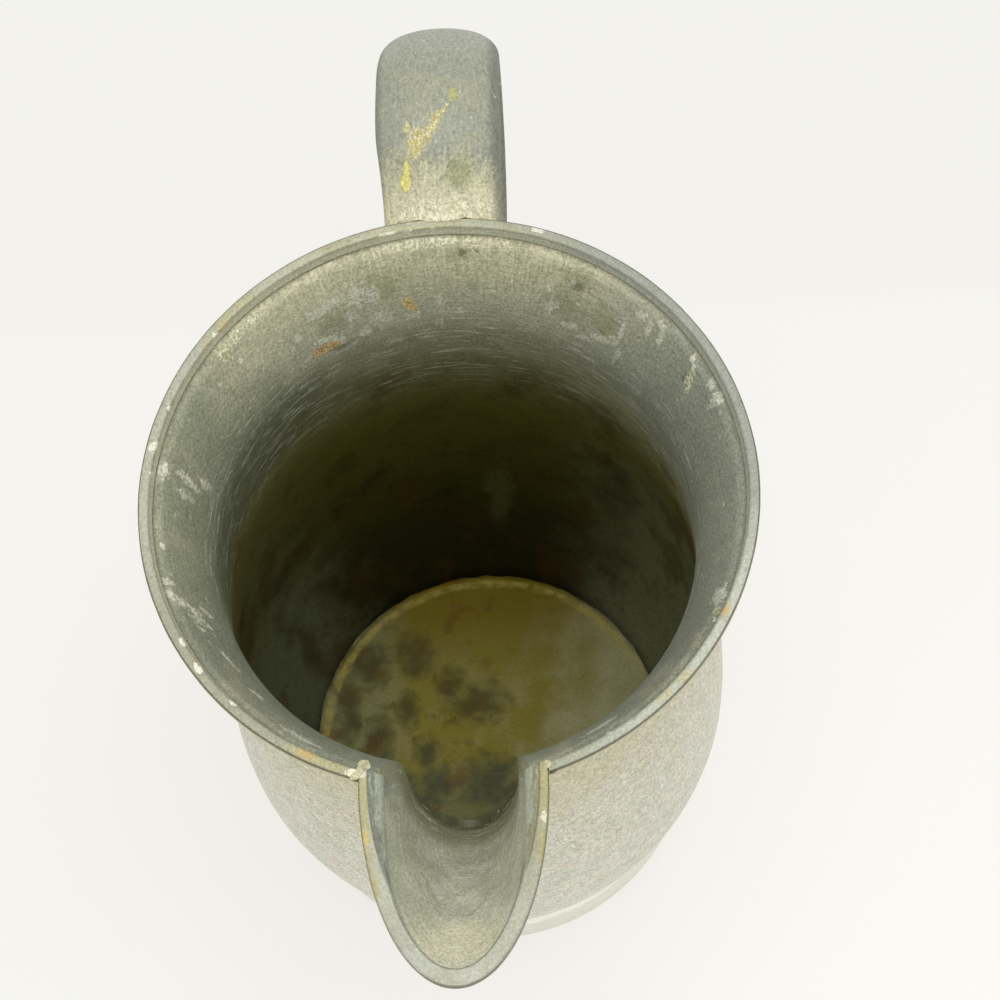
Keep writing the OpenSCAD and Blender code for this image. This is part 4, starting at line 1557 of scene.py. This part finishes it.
# The rounded inner edge of the band is painted lighter: painted light against the shade that falls on it.
hollow = soft(z + (crust - 0.5) * 0.2, POT_H - 0.35, POT_H - 0.7) * soft(r, RIM_R - 1, RIM_R - 1.4)
colour = glaze(colour, glaze((228, 226, 200), (206, 208, 194), cold), hollow * 0.9)
# The band's outer side is painted lighter: painted light against the shade that falls on it.
outer_side_painted_light = soft(z, POT_H - 0.5, POT_H - 0.8) * soft(r, RIM_R - 0.5, RIM_R - 0.2)
colour = glaze(colour, (208, 201, 168), outer_side_painted_light)
# The outer corner is painted dark: a painted dark reflection, which draws a thin line round the mouth.
arris_dark_reflection = soft(r, RIM_R - 0.4, RIM_R - 0.18) * soft(z, POT_H - 0.75, POT_H - 0.45)
colour = glaze(colour, (96, 94, 76), arris_dark_reflection * (0.5 + crust * 0.5))
colour = shade(colour, 0.3 + grit * 1.1 + crust * 0.3)
end_finish(w, colour, 0.5 + clouding * 0.2, grit + crust * 0.5, metal=0.4, bump=0.08)
dress(rim, bands)

# %% Finish of the spout's band
lip, w, spot = new_finish("folded band")
torn = ragged(spot, 1.1, 0.8)
side, sine, _, x, y, z = spout_place(spot)
clouding, grit, crust = noises(spot, 5)
colour = glaze((178, 178, 160), (190, 191, 176), soft(clouding, 0.38, 0.62))
fold_now = soft(sine, 0.72, 0.0)
crease = side - 0.25 - fold_now * 1.2
slope = soft(crease + (crust - 0.5) * 0.25, 0.05, -0.15) * soft(fold_now, 0.02, 0.3)
right = soft(x, -4, 4)
colour = glaze(colour, (166, 164, 140), right * soft(y + (clouding - 0.5) * 10, -80, -62) * 0.7)
# The folded slope is painted darker, bluer on the left: painted shade.
slope_shade_tone = glaze((124, 128, 112), (150, 146, 114), right)
colour = glaze(colour, slope_shade_tone, slope * 0.85)
streaks = cloud(w.node("CombineXYZ", {}, {0: side * 1.6, 1: y * 0.3, 2: z * 0.2}), 1, 4, 0.65)
colour = glaze(colour, (184, 190, 172), slope * soft(crease + (streaks - 0.5) * 4, -0.5, -1.6) * 0.85)
WARM = [
    ((-15.2, -54, 151), (1.6, 5.5, 4)), ((-15.3, -60, 151), (1.5, 4.0, 4)),
    ((-14.6, -65.5, 151), (1.4, 3.0, 4)), ((-13.5, -71, 151), (1.4, 4, 4)),
    ((15.3, -54, 151), (2.2, 7, 4)), ((14.5, -64, 151), (1.2, 3, 4)),
]
warm = most(stain(torn, centre, size) for centre, size in WARM)
colour = glaze(colour, (178, 170, 118), flakes(warm, crust, 2.4, 0.3) * (1 - slope) * 0.75)
amber = flakes(stain(torn, (-15.2, -62, 151), (1.2, 2.2, 4)), crust, 2.2, 0.2)
colour = glaze(colour, (204, 184, 112), amber * 0.8)
CHIPS = [(-14.9, -50.6, 151), (9, -81.5, 151), (14.6, -59, 151)]
chips = flakes(most(stain(torn, centre, (0.6, 0.8, 4)) for centre in CHIPS), crust, 2.2, 0.14)
colour = glaze(colour, CHALK, chips * 0.6)
# A painted shadow line runs in the crease of the fold. Thin dark lines also run along the band's inner and
# outer edges.
inner_line = soft(side + (crust - 0.5) * 0.3, 0.5, 0.1) * soft(fold_now, 0.5, 0.1) * 0.6
outer_line = soft(side, LIP_W - 0.3, LIP_W - 0.1)
fold_shadow_line = soft(crease.math("ABSOLUTE", crease), 0.2, 0.05) * soft(fold_now, 0.1, 0.5)
colour = glaze(colour, (104, 104, 84), most([inner_line, outer_line, fold_shadow_line]) * 0.7)
colour = shade(colour, 0.42 + grit * 0.86 + crust * 0.3)
end_finish(w, colour, 0.5 + clouding * 0.2, grit + crust * 0.5, metal=0.4, bump=0.08)
dress(spout_rim, lip)

# %% [markdown]
# ## The handle
#
# The strap was drawn lengthwise over a rough cloth, so its grain is grit drawn out along its length.
# It reads the UV map that unrolls the strap. Near the rim it is stained cream, and a few drops dried
# on its top.

# %% Finish of the handle
strap, w, spot = new_finish("strap")
torn = ragged(spot, 1.0, 1.1)
unrolled = stretch(w.node("UVMap", {"uv_map": "along"}), (1000, 1000, 0))
clouding, grit, crust = noises(spot, 6, 0.8)
drawn = cloud(stretch(unrolled, (1, 0.3, 0)), 0.6, 3, 0.65)
x, y, z = parts_of(spot)
colour = glaze((170, 171, 150), (164, 167, 152), soft(clouding, 0.4, 0.62))
colour = glaze(colour, (178, 180, 170), soft(y, 78, 92) * 0.8)
colour = glaze(colour, (160, 162, 130), soft(cloud(spot, 3.2, 4), 0.54, 0.66) * 0.3)
creep = y + (crust - 0.5) * 22 + (clouding - 0.5) * 10
colour = glaze(colour, (216, 211, 176), soft(creep, 65, 57) * 0.85)
colour = glaze(colour, (250, 244, 218), soft(crust, 0.44, 0.56) * soft(creep, 62, 56) * 0.8)
mould = soft(stain(torn, (3.6, 60, 156), (2.6, 3, 8)) + (crust - 0.5), 0.2, 0.7)
colour = glaze(colour, (164, 166, 124), mould * 0.7)
# The strap's sides are painted darker: painted shade where they turn away from the light.
sides = soft(x.math("ABSOLUTE", x + 0.4) + (crust - 0.5) * 1.5, 9.2, 11.2)
colour = glaze(colour, (126, 129, 118), sides * 0.8)
print("nodes so far:", len(w.tree.nodes))

# %% Drips on the handle
STREAKS = [
    ((-5.3, 61.6, 158), (0.4, 1.6, 8), 0), ((-4.0, 64.0, 160), (1.2, 1.7, 8), 10),
    ((-3.0, 65.3, 160), (1.7, 1.6, 8), -30), ((-0.6, 67.2, 161), (0.7, 2.4, 8), -26),
    ((1.0, 69.6, 161), (0.3, 1.5, 8), -32), ((2.0, 71, 162), (0.25, 0.6, 8), -40),
    ((-5.4, 67.2, 160), (0.5, 0.9, 8), 0),
]
SPLASH = [((-6.1, 59.2, 156), (0.95, 1.25, 8), 6), ((-5.8, 60.6, 157), (0.5, 1.4, 8), 6)]
smear = flakes(most(stain(torn, *row) for row in STREAKS), crust, 3.0, 0.3)
colour = glaze(colour, glaze((204, 190, 116), (230, 222, 180), soft(grit, 0.48, 0.6)), smear * 0.8)
drops = soft(most(stain(ragged(spot, 2, 0.5), *row) for row in SPLASH), 0.28, 0.38)
colour = glaze(colour, (236, 226, 140), drops * 0.9)
drip = flakes(stain(torn, (3.2, 73.3, 162), (0.8, 1.4, 8)), crust, 2.6, 0.25)
colour = glaze(colour, (190, 186, 120), drip * 0.8)
colour = glaze(colour, CHALK, specks(spot, 2.2, 0.12, 0.22) * 0.5)
colour = shade(colour, 0.06 + drawn * 0.86 + grit * 1.06)
end_finish(w, colour, 0.6 + clouding * 0.16, drawn * 0.7 + grit + drops * 1.2, metal=0.4, bump=0.12)
dress(handle_face, strap)
dress(handle_back, strap)

# %% [markdown]
# ## The solder
#
# Solder is softer and whiter than the sheet. It stayed dull, with a fine crust.

# %% Finish of the solder
filler, w, spot = new_finish("dull solder")
crust = cloud(spot, 0.45, 4, 0.65)
colour = glaze((178, 175, 142), (210, 205, 170), soft(cloud(spot, 1.1, 3, 0.6), 0.38, 0.58))
colour = shade(colour, 0.6 + crust * 0.8)
end_finish(w, colour, 0.5 + crust * 0.2, crust, metal=0.4, bump=0.05)
for piece in (spout_bead, foot_bead, root_bead, lumps):
    dress(piece, filler)

# %% [markdown]
# ## The room
#
# The pitcher stands on white paper in even light. The paper is one plain floor. A fold runs across
# it behind the handle, and past the fold the paper is painted a shade greyer, as painted shade. A
# large soft lamp stands high above the mouth, so the far side of the neck is lighter than its left
# side. The world is plain and even. Where the camera or a reflection sees the paper, two thirds of it
# are its own white, so the shadow round the foot stays and is as faint as in the photograph. That
# white is painted lighter towards the right and the front, which is painted light.

# %% Floor with a fold
bpy.ops.object.select_all(action="DESELECT")
PAPER_SIZE, PAPER_GLOW = 6, 0.65
bpy.ops.mesh.primitive_plane_add(size=PAPER_SIZE)
ground = bpy.context.object
ground.name = "ground"
paper, w, spot = new_finish("white paper")
x, y, z = parts_of(spot)
# Past the fold the paper is painted a little greyer: painted shade.
past_fold_shade = soft(y, 110, 118)
colour = glaze((248, 247, 244), (244, 243, 239), past_fold_shade)
matt = w.node("BsdfPrincipled", {}, {"Base Color": colour, "Roughness": 1.0, "Specular IOR Level": 0.0})
# Its own white is painted lighter towards the right and the front, and greyer past the fold: painted light
# and painted shade.
seen_painted_light = glaze((244, 243, 238), (255, 254, 249), soft(x * 0.7 - y, -80, 220))
seen_painted_light = glaze(seen_painted_light, (243, 242, 237), past_fold_shade)
glow = w.node("Emission", {}, {"Color": seen_painted_light, "Strength": 1.0})
ray = w.node("LightPath", out="Is Camera Ray")
share = most([ray, ray.output("Is Glossy Ray"), ray.output("Is Transmission Ray")]) * PAPER_GLOW
w.node("OutputMaterial", {}, {0: w.node("MixShader", {}, {0: share, 1: matt, 2: glow})})
dress(ground, paper)
print("the paper is", PAPER_SIZE, "m wide")

# %% World and lamp
WORLD_COLOUR, WORLD_STRENGTH = (1.0, 1.0, 0.985, 1), 0.74
LAMP_PLACE, LAMP_AIM = Vector((0.08, 0.0, 1.15)), Vector((0, 0, 0.1))
LAMP_SIZE, LAMP_POWER = 0.7, 4.2

world = bpy.data.worlds.new("even light")
world.use_nodes = True
background = world.node_tree.nodes["Background"]
background.inputs["Color"].default_value = WORLD_COLOUR
background.inputs["Strength"].default_value = WORLD_STRENGTH
bpy.context.scene.world = world
aim = LAMP_AIM - LAMP_PLACE
bpy.ops.object.light_add(type="AREA", location=LAMP_PLACE, rotation=aim.to_track_quat("-Z", "Y").to_euler())
lamp = bpy.context.object
lamp.name = "soft lamp"
lamp.data.shape = "DISK"
lamp.data.size = LAMP_SIZE
lamp.data.energy = LAMP_POWER
bpy.context.scene.view_settings.view_transform = "Standard"
print("lamp", round(aim.length, 2), "m from the pitcher")
